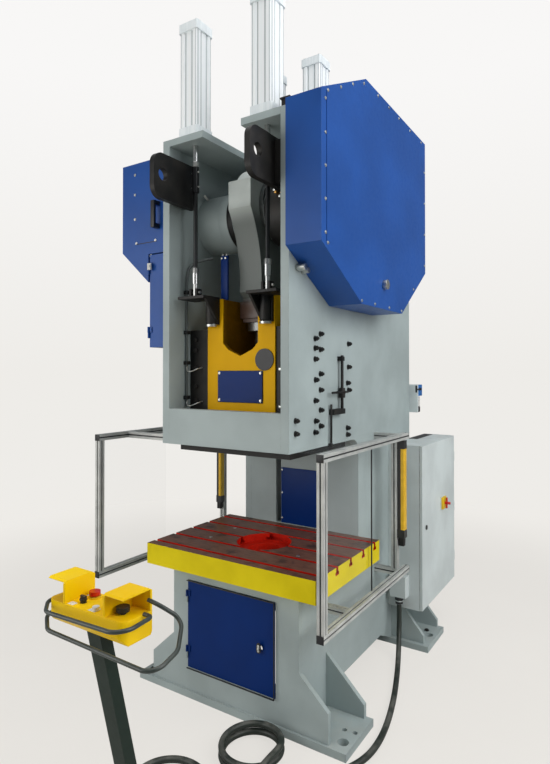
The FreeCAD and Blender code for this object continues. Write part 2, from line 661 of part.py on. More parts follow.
def toothed_wheel(teeth, width, phase, bore):
    points = tooth_outline(teeth, number("gear_module"), 1.0, 0.42)
    face = Part.Face(Part.makePolygon(points + points[:1]))
    solid = face.extrude(Vector(width, 0, 0))
    solid.rotate(Vector(0, 0, 0), Vector(1, 0, 0), phase)
    if bore:
        solid = solid.cut(Part.makeCylinder(bore, width + 2, Vector(-1, 0, 0), Vector(1, 0, 0)))
    return solid


def make_gears():
    """Main gear on the crankshaft and the pinion shaft that drives it."""
    teeth, small = int(number("gear_teeth")), int(number("pinion_teeth"))
    width = number("gear_width")
    start = number("%s + gear_start" % HALF)
    wheel = toothed_wheel(teeth, width, 90, number("journal_dia / 2"))
    rim = number("gear_module * gear_teeth / 2 - 70")
    hub = number("journal_dia / 2 + 45")
    for x in (-1, width - 29):
        dish = Part.makeCylinder(rim, 30, Vector(x, 0, 0), Vector(1, 0, 0))
        dish = dish.cut(Part.makeCylinder(hub, 30, Vector(x, 0, 0), Vector(1, 0, 0)))
        wheel = wheel.cut(dish)
    gear = shaped("main_gear", [wheel])
    gear.Placement = FreeCAD.Placement(at(start, number("crank_y"), number("crank_z")), FreeCAD.Rotation())

    pinion = toothed_wheel(small, width + 8, 90 + 180 / small, 0)
    left_end = -number("%s + flywheel_start + flywheel_width + clutch_width + 1" % HALF)
    right_end = number("%s + gear_start + gear_width + 20" % HALF)
    shift = left_end - start + 4
    radius = number("pinion_shaft_dia / 2")
    shaft = Part.makeCylinder(radius, right_end - left_end, Vector(shift, 0, 0), Vector(1, 0, 0))
    clutch = Part.makeCylinder(number("clutch_dia / 2"), number("clutch_width"),
                               Vector(shift, 0, 0), Vector(1, 0, 0))
    turned = shaped("pinion_shaft", [pinion.fuse([shaft, clutch]).removeSplitter()])
    turned.Placement = FreeCAD.Placement(at(start - 4, number(SHAFT_Y), number("crank_z")),
                                         FreeCAD.Rotation())


def ring_profile(body, radii, widths, bore, start):
    """Wheel about X: rim, web and hub, from local x = start."""
    rim, inner_rim, hub = radii
    rim_wide, web_wide, hub_wide = widths
    pad(body, "YZ", [("circle", "0", "0", rim)], rim_wide, start)
    for face in (start + " - 1", "%s + (%s + %s) / 2" % (start, rim_wide, web_wide)):
        pocket(body, "YZ", [("circle", "0", "0", inner_rim)], "(%s - %s) / 2 + 1" % (rim_wide, web_wide), face)
    pad(body, "YZ", [("circle", "0", "0", hub)], hub_wide, start)
    pocket(body, "YZ", [("circle", "0", "0", bore)], hub_wide + " + 2", start + " - 1")


def make_flywheel():
    x = "-%s - flywheel_start - flywheel_width" % HALF
    wheel = piece("flywheel", x, SHAFT_Y, "crank_z")
    ring_profile(wheel, ("flywheel_dia / 2", "flywheel_dia / 2 - 60", "pinion_shaft_dia / 2 + 50"),
                 ("flywheel_width", "40", "flywheel_width"), "pinion_shaft_dia / 2 + running_gap", "0")

    motor = piece("drive_motor", "-" + INNER, MOTOR_Y, "crank_z")
    pad(motor, "YZ", [("circle", "0", "0", "motor_dia / 2")], "motor_length")
    pad(motor, "XZ", [box_outline("50", "-motor_dia / 2 - 30", "motor_length - 50", "-motor_dia / 2 + 30")],
        "motor_dia - 40", "20 - motor_dia / 2")
    pad(motor, "YZ", [("circle", "0", "0", "motor_dia / 2 + 12")], "16")
    pocket(motor, "YZ", [("circle", "0", "0", "motor_shaft_dia / 2 + running_gap")], "71", "-1")

    shaft = piece("motor_pulley", x, MOTOR_Y, "crank_z")
    pad(shaft, "YZ", [("circle", "0", "0", "pulley_dia / 2")], "flywheel_width")
    pad(shaft, "YZ", [("circle", "0", "0", "motor_shaft_dia / 2")],
        "flywheel_start + side_thick + 60 + flywheel_width", "0")

    make_belt(x)


def make_belt(x):
    """Flat belt round the flywheel and the motor pulley."""
    big = number("flywheel_dia / 2") + number("running_gap")
    small = number("pulley_dia / 2") + number("running_gap")
    thick = number("belt_thick")
    gap = number("%s - %s" % (MOTOR_Y, SHAFT_Y))

    def loop(extra):
        lean = math.asin((big - small) / gap)
        spots = []
        for radius, centre in ((big + extra, 0), (small + extra, gap)):
            spots.append((centre + radius * math.sin(lean), radius * math.cos(lean)))
        (y1, z1), (y2, z2) = spots
        edges = [
            Part.LineSegment(Vector(0, y1, z1), Vector(0, y2, z2)).toShape(),
            Part.Arc(Vector(0, y2, z2), Vector(0, gap + small + extra, 0), Vector(0, y2, -z2)).toShape(),
            Part.LineSegment(Vector(0, y2, -z2), Vector(0, y1, -z1)).toShape(),
            Part.Arc(Vector(0, y1, -z1), Vector(0, -big - extra, 0), Vector(0, y1, z1)).toShape(),
        ]
        return Part.Face(Part.Wire(edges))

    width = number("flywheel_width - 24")
    solid = loop(thick).extrude(Vector(width, 0, 0)).cut(loop(0).extrude(Vector(width, 0, 0)))
    belt = shaped("drive_belt", [solid])
    belt.Placement = FreeCAD.Placement(at(number(x) + 12, number(SHAFT_Y), number("crank_z")),
                                       FreeCAD.Rotation())


def make_connecting_rod():
    """Forged rod with a split big end, and the ball screw in its foot."""
    width, half = number("rod_width"), number("rod_width / 2")
    pin_y, pin_z = number("crank_y"), number(PIN_Z)
    reach, block_high = number("big_end_reach"), number("block_height")
    waist, foot_half, foot = number("rod_waist"), number("rod_foot_half"), number("rod_foot")
    waist_z = number("slide_top + 42")
    foot_z = waist_z - 30

    def curved(sign):
        return Part.Arc(Vector(-half, pin_y + sign * reach, pin_z - block_high),
                        Vector(-half, pin_y + sign * (waist + 26), (pin_z - block_high + waist_z) / 2 + 40),
                        Vector(-half, pin_y + sign * waist, waist_z)).toShape()

    def line(y1, z1, y2, z2):
        return Part.LineSegment(Vector(-half, y1, z1), Vector(-half, y2, z2)).toShape()

    edges = [line(pin_y - reach, pin_z, pin_y - reach, pin_z - block_high), curved(-1)]
    edges.append(line(pin_y - waist, waist_z, pin_y - foot_half, foot_z))
    edges.append(line(pin_y - foot_half, foot_z, pin_y - foot_half, foot))
    edges.append(line(pin_y - foot_half, foot, pin_y + foot_half, foot))
    edges.append(line(pin_y + foot_half, foot, pin_y + foot_half, foot_z))
    edges.append(line(pin_y + foot_half, foot_z, pin_y + waist, waist_z))
    edges.append(curved(1))
    edges.append(line(pin_y + reach, pin_z - block_high, pin_y + reach, pin_z))
    edges.append(line(pin_y + reach, pin_z, pin_y - reach, pin_z))
    solid = Part.Face(Part.Wire(edges)).extrude(Vector(width, 0, 0))
    eye = Part.makeCylinder(number("pin_dia / 2 + running_gap"), width + 2,
                            Vector(-half - 1, pin_y, pin_z), Vector(1, 0, 0))
    screw_hole = Part.makeCylinder(number("screw_dia / 2"), 180, Vector(0, pin_y, foot - 1), Vector(0, 0, 1))
    rod = shaped("connecting_rod", [solid.cut(eye).cut(screw_hole)])
    rod.Placement = FreeCAD.Placement(at(0, 0, 0), FreeCAD.Rotation())

    ring = Part.makeCylinder(number("big_end_dia / 2"), width, Vector(-half, pin_y, pin_z), Vector(1, 0, 0))
    blocks = Part.makeBox(width, 2 * reach, block_high, Vector(-half, pin_y - reach, pin_z))
    cap = ring.fuse(blocks)
    below = Part.makeBox(width + 2, 2 * reach + 2, 400, Vector(-half - 1, pin_y - reach - 1, pin_z - 400))
    upper = shaped("rod_cap", [cap.cut(below).cut(eye).removeSplitter()])
    upper.Placement = FreeCAD.Placement(at(0, 0, 0), FreeCAD.Rotation())

    ball = number("ball_z")
    screw = Part.makeCylinder(number("screw_dia / 2"), foot + 170 - ball, Vector(0, pin_y, ball), Vector(0, 0, 1))
    nut = Part.makeCylinder(number("rod_foot_half - 12"), 44, Vector(0, pin_y, foot - 45), Vector(0, 0, 1))
    head = Part.makeSphere(number("ball_dia / 2"), Vector(0, pin_y, ball))
    joint = shaped("ball_screw", [screw.fuse([nut, head]).removeSplitter()])
    joint.Placement = FreeCAD.Placement(at(0, 0, 0), FreeCAD.Rotation())


def make_slide():
    """Cast slide with an open pocket for the ball screw and a V-bottomed front window."""
    slide = piece("slide", "0", "slide_front", "slide_low")
    half = "slide_width / 2"
    high = "slide_top - slide_low"
    pad(slide, "XY", [box_outline("-" + half, "0", half, "slide_depth")], high)
    inner = "(slide_width / 2 - slide_cheek)"
    pocket(slide, "XY", [box_outline("-" + inner, "slide_wall", inner, "slide_depth - slide_wall")],
           high, "slide_floor - slide_low")
    window = [
        ("-window_half", high + " + 1"), ("-window_half", "window_shoulder - slide_low"),
        ("-window_half + 34", "window_shoulder - slide_low - 34"), ("0", "window_low - slide_low"),
        ("window_half - 34", "window_shoulder - slide_low - 34"),
        ("window_half", "window_shoulder - slide_low"), ("window_half", high + " + 1"),
    ]
    pocket(slide, "XZ", [window], "slide_wall + 2", "-1")
    pocket(slide, "XZ", [("circle", "vent_x", "vent_z - slide_low", "vent_dia / 2")], "14", "-1")

    plate = piece("ram_plate", "0", "ram_plate_front", "slide_low - ram_plate_thick")
    side = "(%s - ram_plate_clear)" % INNER
    pad(plate, "XY", [box_outline("-" + side, "0", side, "ram_plate_depth")], "ram_plate_thick")
    pocket(plate, "XY", [("circle", "0", "crank_y - ram_plate_front", "shank_dia / 2")],
           "ram_plate_thick + 2", "-1")

    panel = piece("slide_panel", "-name_plate_width / 2", "slide_front - name_plate_thick", "name_plate_low")
    pad(panel, "XZ", [box_outline("0", "0", "name_plate_width", "name_plate_height")], "name_plate_thick")
    round_edges(panel, "y", "10", lambda p: True)

    vent = piece("slide_vent", "vent_x", "slide_front", "vent_z")
    pad(vent, "XZ", [("circle", "0", "0", "vent_dia / 2")], "13", "0")
    pad(vent, "XZ", [("circle", "0", "0", "vent_dia / 2 + 3")], "5", "-5")


def cylinder_solid(x, y):
    """Square balance cylinder: two caps, a grooved barrel and the bore for its piston."""
    side, high = number("cylinder_square"), number("cylinder_height")
    cap, inset, base = number("cap_height"), number("barrel_inset"), number("frame_top")
    rod_hole, bore = number("piston_rod_dia / 2 + running_gap"), number("cylinder_bore / 2")
    half = side / 2
    barrel_half = half - inset
    lobe, groove = barrel_half * 0.52, 5
    points = []
    for quarter in range(4):
        turn = math.radians(90 * quarter)
        for u, v in ((-barrel_half + 8, -barrel_half), (-lobe, -barrel_half), (-lobe + 4, -barrel_half + groove),
                     (lobe - 4, -barrel_half + groove), (lobe, -barrel_half), (barrel_half - 8, -barrel_half)):
            points.append(Vector(u * math.cos(turn) - v * math.sin(turn),
                                 u * math.sin(turn) + v * math.cos(turn), cap))
    barrel = Part.Face(Part.makePolygon(points + points[:1])).extrude(Vector(0, 0, high - 2 * cap))
    caps = []
    for z in (0, high - cap):
        block_solid = Part.makeBox(side, side, cap, Vector(-half, -half, z))
        upright = [edge for edge in block_solid.Edges if abs(edge.Curve.Direction.z) > 0.9]
        caps.append(block_solid.makeChamfer(7, upright))
    solid = barrel.fuse(caps).removeSplitter()
    solid = solid.cut(Part.makeCylinder(bore, high - 2 * cap, Vector(0, 0, cap)))
    solid = solid.cut(Part.makeCylinder(rod_hole, cap + 2, Vector(0, 0, -1)))
    solid.translate(at(number(x), number(y), base))
    return solid


def rod_solid(x, y, foot):
    """Piston, piston rod, coupling, pull rod and rod end, screwed into one string."""
    base, cap = number("frame_top"), number("cap_height")
    piston_high = 40
    top = base + number("cylinder_height") - cap - 12
    low, high = number("coupling_low"), number("coupling_high")
    end_low, end_high = number("rod_end_low"), number("rod_end_high")
    pieces = [
        (number("cylinder_bore / 2 - running_gap"), top - piston_high, top),
        (number("piston_rod_dia / 2"), high, top - 1),
        (number("coupling_dia / 2"), low, high),
        (number("pull_rod_dia / 2"), end_high, low),
        (number("pull_rod_dia / 2 + 5"), end_low + 30, end_high),
        (number("pull_rod_dia / 2 + 1"), foot, end_low + 30),
    ]
    solids = [Part.makeCylinder(radius, z2 - z1, Vector(0, 0, z1)) for radius, z1, z2 in pieces]
    solid = solids[0].fuse(solids[1:])
    solid.translate(at(number(x), number(y), 0))
    return solid


def make_balance():
    """Balance cylinders on the crown plate, and the rods that carry the slide."""
    top, thick, low = number("bracket_top"), number("bracket_thick"), number("bracket_low")
    face = number("slide_front")
    back = number(SLIDE_BACK)
    x, y = "front_cylinder_x", "front_cylinder_y"
    rear_x, rear_y = "rear_cylinder_x", "rear_cylinder_y"
    spots = [(sign + x, y) for sign in ("", "-")] + [(sign + rear_x, rear_y) for sign in ("", "-")]
    shaped("balance_cylinders", [cylinder_solid(*spot) for spot in spots])
    brackets = []
    for side, sign in (("right", ""), ("left", "-")):
        shaped("balance_rod_" + side, [rod_solid(sign + x, y, top)])
        middle = number(sign + x)
        inward = -1 if middle > 0 else 1
        foot = middle + inward * 95
        shelf = Part.makeBox(175, face - 22, thick, Vector(min(foot, foot - inward * 175), 22, top - thick))
        edge = number("slide_width / 2") * (1 if middle > 0 else -1)
        wide = abs(edge - foot)
        plate = Part.makeBox(wide, thick, top - thick - low, Vector(min(foot, edge), face - thick, low))
        rib = Part.Face(Part.makePolygon([
            Vector(middle - 8, face - thick, low + 20), Vector(middle - 8, face - thick, top - thick),
            Vector(middle - 8, 30, top - thick), Vector(middle - 8, face - thick, low + 20)]))
        rib = rib.extrude(Vector(14, 0, 0))
        rib.translate(Vector(inward * 24, 0, 0))
        ears = []
        for shift in (-26, 14):
            ears.append(Part.makeBox(12, 46, 42, Vector(middle + shift, number(y) - 23, top)))
        solid = shelf.fuse([plate, rib] + ears)
        solid.translate(at(0, 0, 0))
        brackets.append(solid.removeSplitter())
    shaped("rod_brackets", brackets)

    rods = []
    for sign in ("", "-"):
        string = rod_solid(sign + rear_x, rear_y, top - thick)
        middle = number(sign + rear_x)
        arm = Part.makeBox(90, number(rear_y) + 40 - back, thick, Vector(middle - 45, back, top - 2 * thick))
        plate = Part.makeBox(90, thick, 150, Vector(middle - 45, back, top - 2 * thick - 150))
        arm = arm.fuse(plate)
        arm.translate(at(0, 0, 0))
        rods.append(string.fuse(arm).removeSplitter())
    shaped("balance_rods_rear", rods)


# ---------------------------------------------------------------- covers

def make_covers():
    """Welded sheet covers: the gear cover on the right and the flywheel cover on the left."""
    cover = piece("gear_cover", HALF)
    outline = [
        ("-cover_front", "2290"), ("-cover_front", "2958"), ("448", "3202"), ("1385", "3190"),
        ("1385", "2352"), ("956", "2056"), ("396", "2056"),
    ]
    pad(cover, "YZ", [outline], "cover_reach")
    wall = "cover_wall"
    hollow = [
        ("-cover_front + %s" % wall, "2292"), ("-cover_front + %s" % wall, "2955"), ("449", "3198"),
        ("1385 - %s" % wall, "3186"), ("1385 - %s" % wall, "2354"), ("955", "2060"), ("398", "2060"),
    ]
    pocket(cover, "YZ", [hollow], "cover_reach - cover_wall + 1", "-1")
    pad(cover, "YZ", [("circle", "683", "2188", "26")], "18", "cover_reach")

    box = piece("flywheel_cover", "-%s - left_cover_reach" % HALF, "left_cover_front")
    turn, reach = "left_cover_reach - valve_box_reach - 18", "left_cover_reach"
    deep = "frame_depth - left_cover_back - left_cover_front"
    notch, notch_deep = "valve_box_high + 9", "valve_box_depth + 20"
    top, shoulder, low = "left_cover_top", "left_cover_shoulder", "left_cover_low"
    front = [("0", top), (reach, top), (reach, notch), (turn, notch), (turn, low), ("0", shoulder)]
    rear = [("0", top), (reach, top), (reach, low), (turn, low), ("0", shoulder)]
    pad(box, "XZ", [front], notch_deep)
    pad(box, "XZ", [rear], "%s - (%s)" % (deep, notch_deep), notch_deep)
    past, inner_top = "left_cover_reach + 1", "left_cover_top - cover_wall"
    front_room = [
        (wall, inner_top), (past, inner_top), (past, notch + " + cover_wall"),
        (turn + " - cover_wall", notch + " + cover_wall"), (turn + " - cover_wall", low + " + 9"),
        (wall, shoulder + " + 2"),
    ]
    rear_room = [
        (wall, inner_top), (past, inner_top), (past, low + " + cover_wall"),
        (turn + " + 1.5", low + " + cover_wall"), (wall, shoulder + " + 2"),
    ]
    pocket(box, "XZ", [front_room], notch_deep + " + 1", "cover_wall")
    pocket(box, "XZ", [rear_room], "%s - (%s) - 2 * cover_wall" % (deep, notch_deep),
           notch_deep + " + cover_wall")
    # Bow handle on the front.
    handle_x = "left_cover_reach - 158"
    for z in ("2528", "2650"):
        pad(box, "XZ", [box_outline(handle_x, z, handle_x + " + 22", z + " + 22")], "44", "-44")
    pad(box, "XZ", [box_outline(handle_x, "2528", handle_x + " + 22", "2672")], "16", "-44")

    valve = piece("valve_box", "-%s - valve_box_reach" % HALF, "valve_box_front + door_thick + 1",
                  "valve_box_low")
    high = "valve_box_high - valve_box_low"
    deep = "valve_box_depth - door_thick - 1"
    pad(valve, "XZ", [box_outline("0", "0", "valve_box_reach", high)], deep)
    pocket(valve, "XZ", [box_outline("6", "6", "valve_box_reach - 6", high + " - 6")], deep + " - 6", "-1")

    door = piece("valve_door", "-%s - valve_box_reach" % HALF, "valve_box_front", "valve_box_low")
    pad(door, "XZ", [box_outline("door_gap / 3", "0", "valve_box_reach - 2", high)], "door_thick")
    back = "door_thick + 1"
    for z in ("52", high + " - 108"):
        barrel(valve, "-3", "-%s - hinge_out" % back, z, ("-6.5", "2 - %s - hinge_out" % back, "-1", "30"))
        pad(valve, "XY", [box_outline("-2", "4", "3", "30")], "(hinge_length - knuckle_gap) / 2", z)
        barrel(door, "-3", "-hinge_out", z + " + (hinge_length + knuckle_gap) / 2", ("-3", "2 - hinge_out", "20", "1"))


def profile_bar(corner, axis, span):
    """A slotted square profile from its low corner along an axis."""
    size, slot, deep = number("profile"), number("profile_slot"), number("profile_slot_deep")
    dims = {"x": (span, size, size), "y": (size, span, size), "z": (size, size, span)}[axis]
    solid = Part.makeBox(*dims, corner)
    middle = (size - slot) / 2
    for side in (0, size - deep):
        for u, v, du, dv in ((side, middle, deep, slot), (middle, side, slot, deep)):
            if axis == "x":
                groove = Part.makeBox(span, du, dv, corner + Vector(0, u, v))
            elif axis == "y":
                groove = Part.makeBox(du, span, dv, corner + Vector(u, 0, v))
            else:
                groove = Part.makeBox(du, dv, span, corner + Vector(u, v, 0))
            solid = solid.cut(groove)
    return solid


def make_guards():
    """Aluminium profile guards, clear panels and light curtains beside the die space."""
    size, thick = number("profile"), number("panel_thick")
    low, high, half = number("guard_low"), number("guard_high"), number(HALF)
    front = -number("guard_front")
    square = number("curtain_square")
    upright = high - low - 2 * size
    panels, curtains = [], []
    for side in ("right", "left"):
        sign = 1 if side == "right" else -1
        length, reach = number(side + "_guard_length"), number(side + "_guard_reach")
        rear, arm = number(side + "_rear_post"), number(side + "_front_arm")
        x = reach - size if sign > 0 else -reach
        post_x = x - size if sign > 0 else x
        near = half if sign > 0 else x + size
        span = reach - size - half
        bars = [
            profile_bar(Vector(x, front, low), "y", length),
            profile_bar(Vector(x, front, high - size), "y", length),
            profile_bar(Vector(x, front, low + size), "z", upright),
            profile_bar(Vector(post_x, rear, low + size), "z", upright),
            profile_bar(Vector(near, rear, low), "x", span),
            profile_bar(Vector(near, rear, high - size), "x", span),
            profile_bar(Vector(near, arm, low if sign > 0 else high - size), "x", span),
        ]
        solid = bars[0].fuse(bars[1:])
        solid.translate(at(0, 0, 0))
        shaped("guard_frame_" + side, [solid.removeSplitter()])

        inside = x - thick if sign > 0 else x + size
        pane = Part.makeBox(thick, number("panel_length"), upright - 4,
                            Vector(inside, front + size, low + size + 2))
        top_front = -15 if sign > 0 else arm + size / 2
        top_start = half + 1 if sign > 0 else -reach
        roof = Part.makeBox(reach - half - 1, rear + size - top_front, thick,
                            Vector(top_start, top_front, high))
        panels += [pane, roof]

        curtain_x = reach - size if sign > 0 else -reach
        curtain_y = rear + 4 if sign > 0 else rear - square
        body = Part.makeBox(square, square, number("curtain_high - curtain_low") - 60,
                            Vector(curtain_x, curtain_y, number("curtain_low") + 30))
        edges = [edge for edge in body.Edges if abs(edge.Curve.Direction.z) > 0.9]
        body = body.makeChamfer(5, edges)
        for z in (number("curtain_low"), number("curtain_high") - 50):
            body = body.fuse(Part.makeBox(square, square, 50, Vector(curtain_x, curtain_y, z)))
        curtains.append(body.removeSplitter())
    for item in panels + curtains:
        item.translate(at(0, 0, 0))
    shaped("guard_panels", panels)
    shaped("light_curtains", curtains)


def make_cabinet():
    """Control cabinet on the right side, its door and switches, and the cable box below."""
    cabinet = piece("control_cabinet", HALF, "cabinet_front", "cabinet_low")
    pad(cabinet, "YZ", [box_outline("0", "0", "cabinet_width", "cabinet_height")], "cabinet_depth")
    pocket(cabinet, "YZ", [box_outline("16", "16", "cabinet_width - 16", "cabinet_height - 16")],
           "cabinet_depth - 12", "12")

    door = piece("cabinet_door", "%s + cabinet_depth + 1" % HALF, "cabinet_front", "cabinet_low")
    pad(door, "YZ", [box_outline("4", "2", "cabinet_width - 1", "cabinet_height - 2")], "door_thick")
    hole = "9 + running_gap"
    pocket(door, "YZ", [("circle", "switch_y - cabinet_front", "switch_z - cabinet_low", hole)],
           "door_thick + 2", "-1")
    pocket(door, "YZ", [("circle", "lock_y - cabinet_front", "lock_z - cabinet_low", hole)],
           "door_thick + 2", "-1")
    pad(door, "YZ", [box_outline("switch_y - cabinet_front - 42", "switch_z - cabinet_low - 42",
                                 "switch_y - cabinet_front + 42", "switch_z - cabinet_low + 42"),
                     ("circle", "switch_y - cabinet_front", "switch_z - cabinet_low", hole)],
        "6", "door_thick")

    line, axis = "cabinet_depth + 11", "cabinet_width + hinge_out"
    for low in ("120", "cabinet_height / 2 - hinge_length / 2", "cabinet_height - 120 - hinge_length"):
        barrel(cabinet, line, axis, low, ("cabinet_depth - 20", "cabinet_width", line, axis + " - 2"))
        barrel(door, "10", axis, low + " + (hinge_length + knuckle_gap) / 2",
               ("5", "cabinet_width - 2", "door_thick", axis + " - 2"))

    out = "%s + cabinet_depth + 1 + door_thick" % HALF
    switch = piece("main_switch", out, "switch_y", "switch_z")
    pad(switch, "YZ", [("circle", "0", "0", "9")], "20", "-14")
    pad(switch, "YZ", [("circle", "0", "0", "28")], "8", "6.3")
    pad(switch, "YZ", [box_outline("-10", "-34", "10", "34")], "22", "14")

    lock = piece("cabinet_lock", out, "lock_y", "lock_z")
    pad(lock, "YZ", [("circle", "0", "0", "9")], "25", "-21")
    pad(lock, "YZ", [("circle", "0", "0", "14")], "5", "0.3")
    pocket(lock, "YZ", [box_outline("-2", "-8", "2", "8")], "4", "2")
    pad(lock, "YZ", [box_outline("-12", "-50", "12", "8")], "4", "-21")

    box = piece("cable_box", "socket_box_x", "cabinet_front - socket_box_depth", "socket_box_low")
    pad(box, "XY", [box_outline("-socket_box_width / 2", "0", "socket_box_width / 2", "socket_box_depth")],
        "socket_box_height")
    deep = number("socket_box_depth")
    round_edges(box, "z", "6", lambda p: p.y < deep / 2)
    pad(box, "XY", [("circle", "0", "socket_box_depth / 2", "gland_dia / 2")],
        "gland_length", "-gland_length")
    pocket(box, "XY", [("circle", "0", "socket_box_depth / 2", "cable_dia / 2 + 0.3")],
           "gland_length - 10", "-gland_length - 1")


def make_doors():
    """Door in the base, its lock, and the blue panel on the throat wall."""
    door = piece("base_door", "base_door_x", "base_front", "base_door_low")
    high = "base_door_high - base_door_low"
    pad(door, "XZ", [box_outline("-base_door_half", "0", "base_door_half", high)], "5", "-4")
    pad(door, "XZ", [box_outline("8 - base_door_half", "8", "base_door_half - 8", high + " - 8")], "10", "1")
    pocket(door, "XZ", [("circle", "base_lock_x - base_door_x", "base_lock_z - base_door_low",
                          "13 + running_gap")], "30", "-10")
    line = "0 - base_door_half - door_gap / 2"
    for low in ("50 + (hinge_length + knuckle_gap) / 2", high + " - 50 - (hinge_length - knuckle_gap) / 2"):
        barrel(door, line, "-4 - hinge_out", low, (line, "-2 - hinge_out", line + " + 20", "-3"))

    lock = piece("base_lock", "base_lock_x", "base_front", "base_lock_z")
    pad(lock, "XZ", [("circle", "0", "0", "13")], "base_thick + 9", "-8")
    pad(lock, "XZ", [("circle", "0", "0", "19")], "5", "-9.3")
    reach = "base_door_x + base_door_half - base_lock_x + 14"
    pad(lock, "XZ", [box_outline("-16", "-14", "16", reach)], "5", "base_thick + 1")

    panel = piece("throat_panel", "-121", "throat_depth - 4", "%s + 114" % BED_TOP)
    pad(panel, "XZ", [box_outline("0", "0", "121 + %s - 30" % INNER, "338")], "4")
    round_edges(panel, "y", "8", lambda p: True)


def make_lubricator():
    """Grease lubricator on the back edge of the frame, with its hand lever."""
    lube = piece("lubricator", HALF + " - 10", "frame_depth", "lube_low")
    pad(lube, "XY", [box_outline("-60", "0", "70", "14")], "190")
    pad(lube, "XY", [("circle", "10", "lube_dia / 2 + 20", "lube_dia / 2")], "100", "12")
    pad(lube, "XY", [("circle", "10", "lube_dia / 2 + 20", "lube_dia / 2 + 4")], "40", "0")
    pad(lube, "XY", [box_outline("-45", "10", "62", "120")], "82", "108")
    lever = piece("lubricator_lever", HALF + " + 54", "frame_depth + 46", "lube_low + 160")
    pad(lever, "YZ", [("circle", "0", "0", "10")], "16", "0")
    pad(lever, "YZ", [box_outline("-84", "-4", "0", "4")], "8", "6")
    pad(lever, "YZ", [box_outline("-90", "-22", "-80", "26")], "10", "5")


# ---------------------------------------------------------------- control desk

def make_desk():
    """Two-hand control desk: two hooded palm buttons and three buttons between them."""
    half = "desk_width / 2"
    desk = piece("desk_housing", "desk_x", "desk_y", "desk_low")
    pad(desk, "YZ", [[
        ("-desk_depth / 2", "24"), ("-desk_depth / 2 + 22", "0"), ("desk_depth / 2 - 6", "0"),
        ("desk_depth / 2", "10"), ("desk_depth / 2", "desk_height + hood_height - 8"),
        ("desk_depth / 2 - 12", "desk_height + hood_height"),
        ("-desk_depth / 2 + 10", "desk_height + hood_height"),
        ("-desk_depth / 2", "desk_height + hood_height - 8"),
    ]], "desk_width", "-" + half)
    middle = box_outline("-desk_depth / 2 - 1", "desk_height", "desk_depth / 2 + 1",
                         "desk_height + hood_height + 1")
    pocket(desk, "YZ", [middle], "desk_width - 2 * hood_width", "hood_width - " + half)
    hollow = box_outline("-desk_depth / 2 - 1", "desk_height", "desk_depth / 2 - 8",
                         "desk_height + hood_height - 6")
    for start in ("-%s - 1" % half, "%s - hood_width + 8" % half):
        pocket(desk, "YZ", [hollow], "hood_width - 7", start)
    reach, front = number(half), number("desk_depth / 2")
    round_edges(desk, "z", "desk_round", lambda p: abs(abs(p.x) - reach) < 1 and p.y < 1 - front)
    wall = "desk_wall"
    pocket(desk, "XY", [box_outline("-%s + %s" % (half, wall), "-desk_depth / 2 + 28",
                                    "%s - %s" % (half, wall), "desk_depth / 2 - 10")],
           "desk_height - 14", wall)
    buttons = [
        ("palm_button_right", "%s - palm_inset" % half, "-8", "palm_dia", "14"),
        ("palm_button_left", "-%s + palm_inset" % half, "-8", "palm_dia", "14"),
        ("stop_button", "-52", "28", "stop_dia", "13"),
        ("selector_knob", "-48", "-20", "24", "14"),
        ("start_button", "34", "-38", "22", "5"),
    ]
    holes = [("circle", x, y, "button_stem_dia / 2 + 0.3") for name, x, y, cap, high in buttons]
    pocket(desk, "XY", holes, "44", "desk_height - 36")
    for name, x, y, cap, high in buttons:
        button = piece(name, "desk_x + " + x, "desk_y + " + y, "desk_low + desk_height")
        pad(button, "XY", [("circle", "0", "0", "button_stem_dia / 2")], "34 + button_travel", "-32")
        pad(button, "XY", [("circle", "0", "0", cap + " / 2")], high, "button_travel + 2")
        if name == "selector_knob":
            for side in (("-16", "4", "16", "16"), ("-16", "-16", "16", "-4")):
                pocket(button, "XY", [box_outline(*side)], high, "button_travel + 6")
    make_post()
    make_rails()


def make_post():
    """Leaning post of the control desk, welded to its foot plate."""
    lean = math.tan(math.radians(number("post_lean")))
    top, foot_z = number("desk_low"), number("post_foot_thick")
    wide, deep = number("post_width"), number("post_depth")
    shift = lean * (top - foot_z)
    x, y = number("post_x") - wide / 2, number("post_y")
    side = Part.Face(Part.makePolygon([
        Vector(x, y - deep / 2, top), Vector(x, y + deep / 2, top),
        Vector(x, y + deep / 2 + shift, foot_z), Vector(x, y - deep / 2 + shift, foot_z),
        Vector(x, y - deep / 2, top)]))
    foot_wide, foot_deep = number("post_foot_width"), number("post_foot_depth")
    foot = Part.makeBox(foot_wide, foot_deep, foot_z,
                        Vector(number("post_x") - foot_wide / 2, y - foot_deep / 2 + shift * 0.7, 0))
    gland_y = y + deep / 2 + lean * (top - number("post_gland_z"))
    gland = Part.makeCylinder(number("gland_dia / 2"), number("gland_length"),
                              Vector(number("post_x"), gland_y - 10, number("post_gland_z")), Vector(0, 1, 0))
    post = side.extrude(Vector(wide, 0, 0)).fuse([foot, gland])
    post.translate(at(0, 0, 0))
    shaped("desk_post", [post.removeSplitter()])


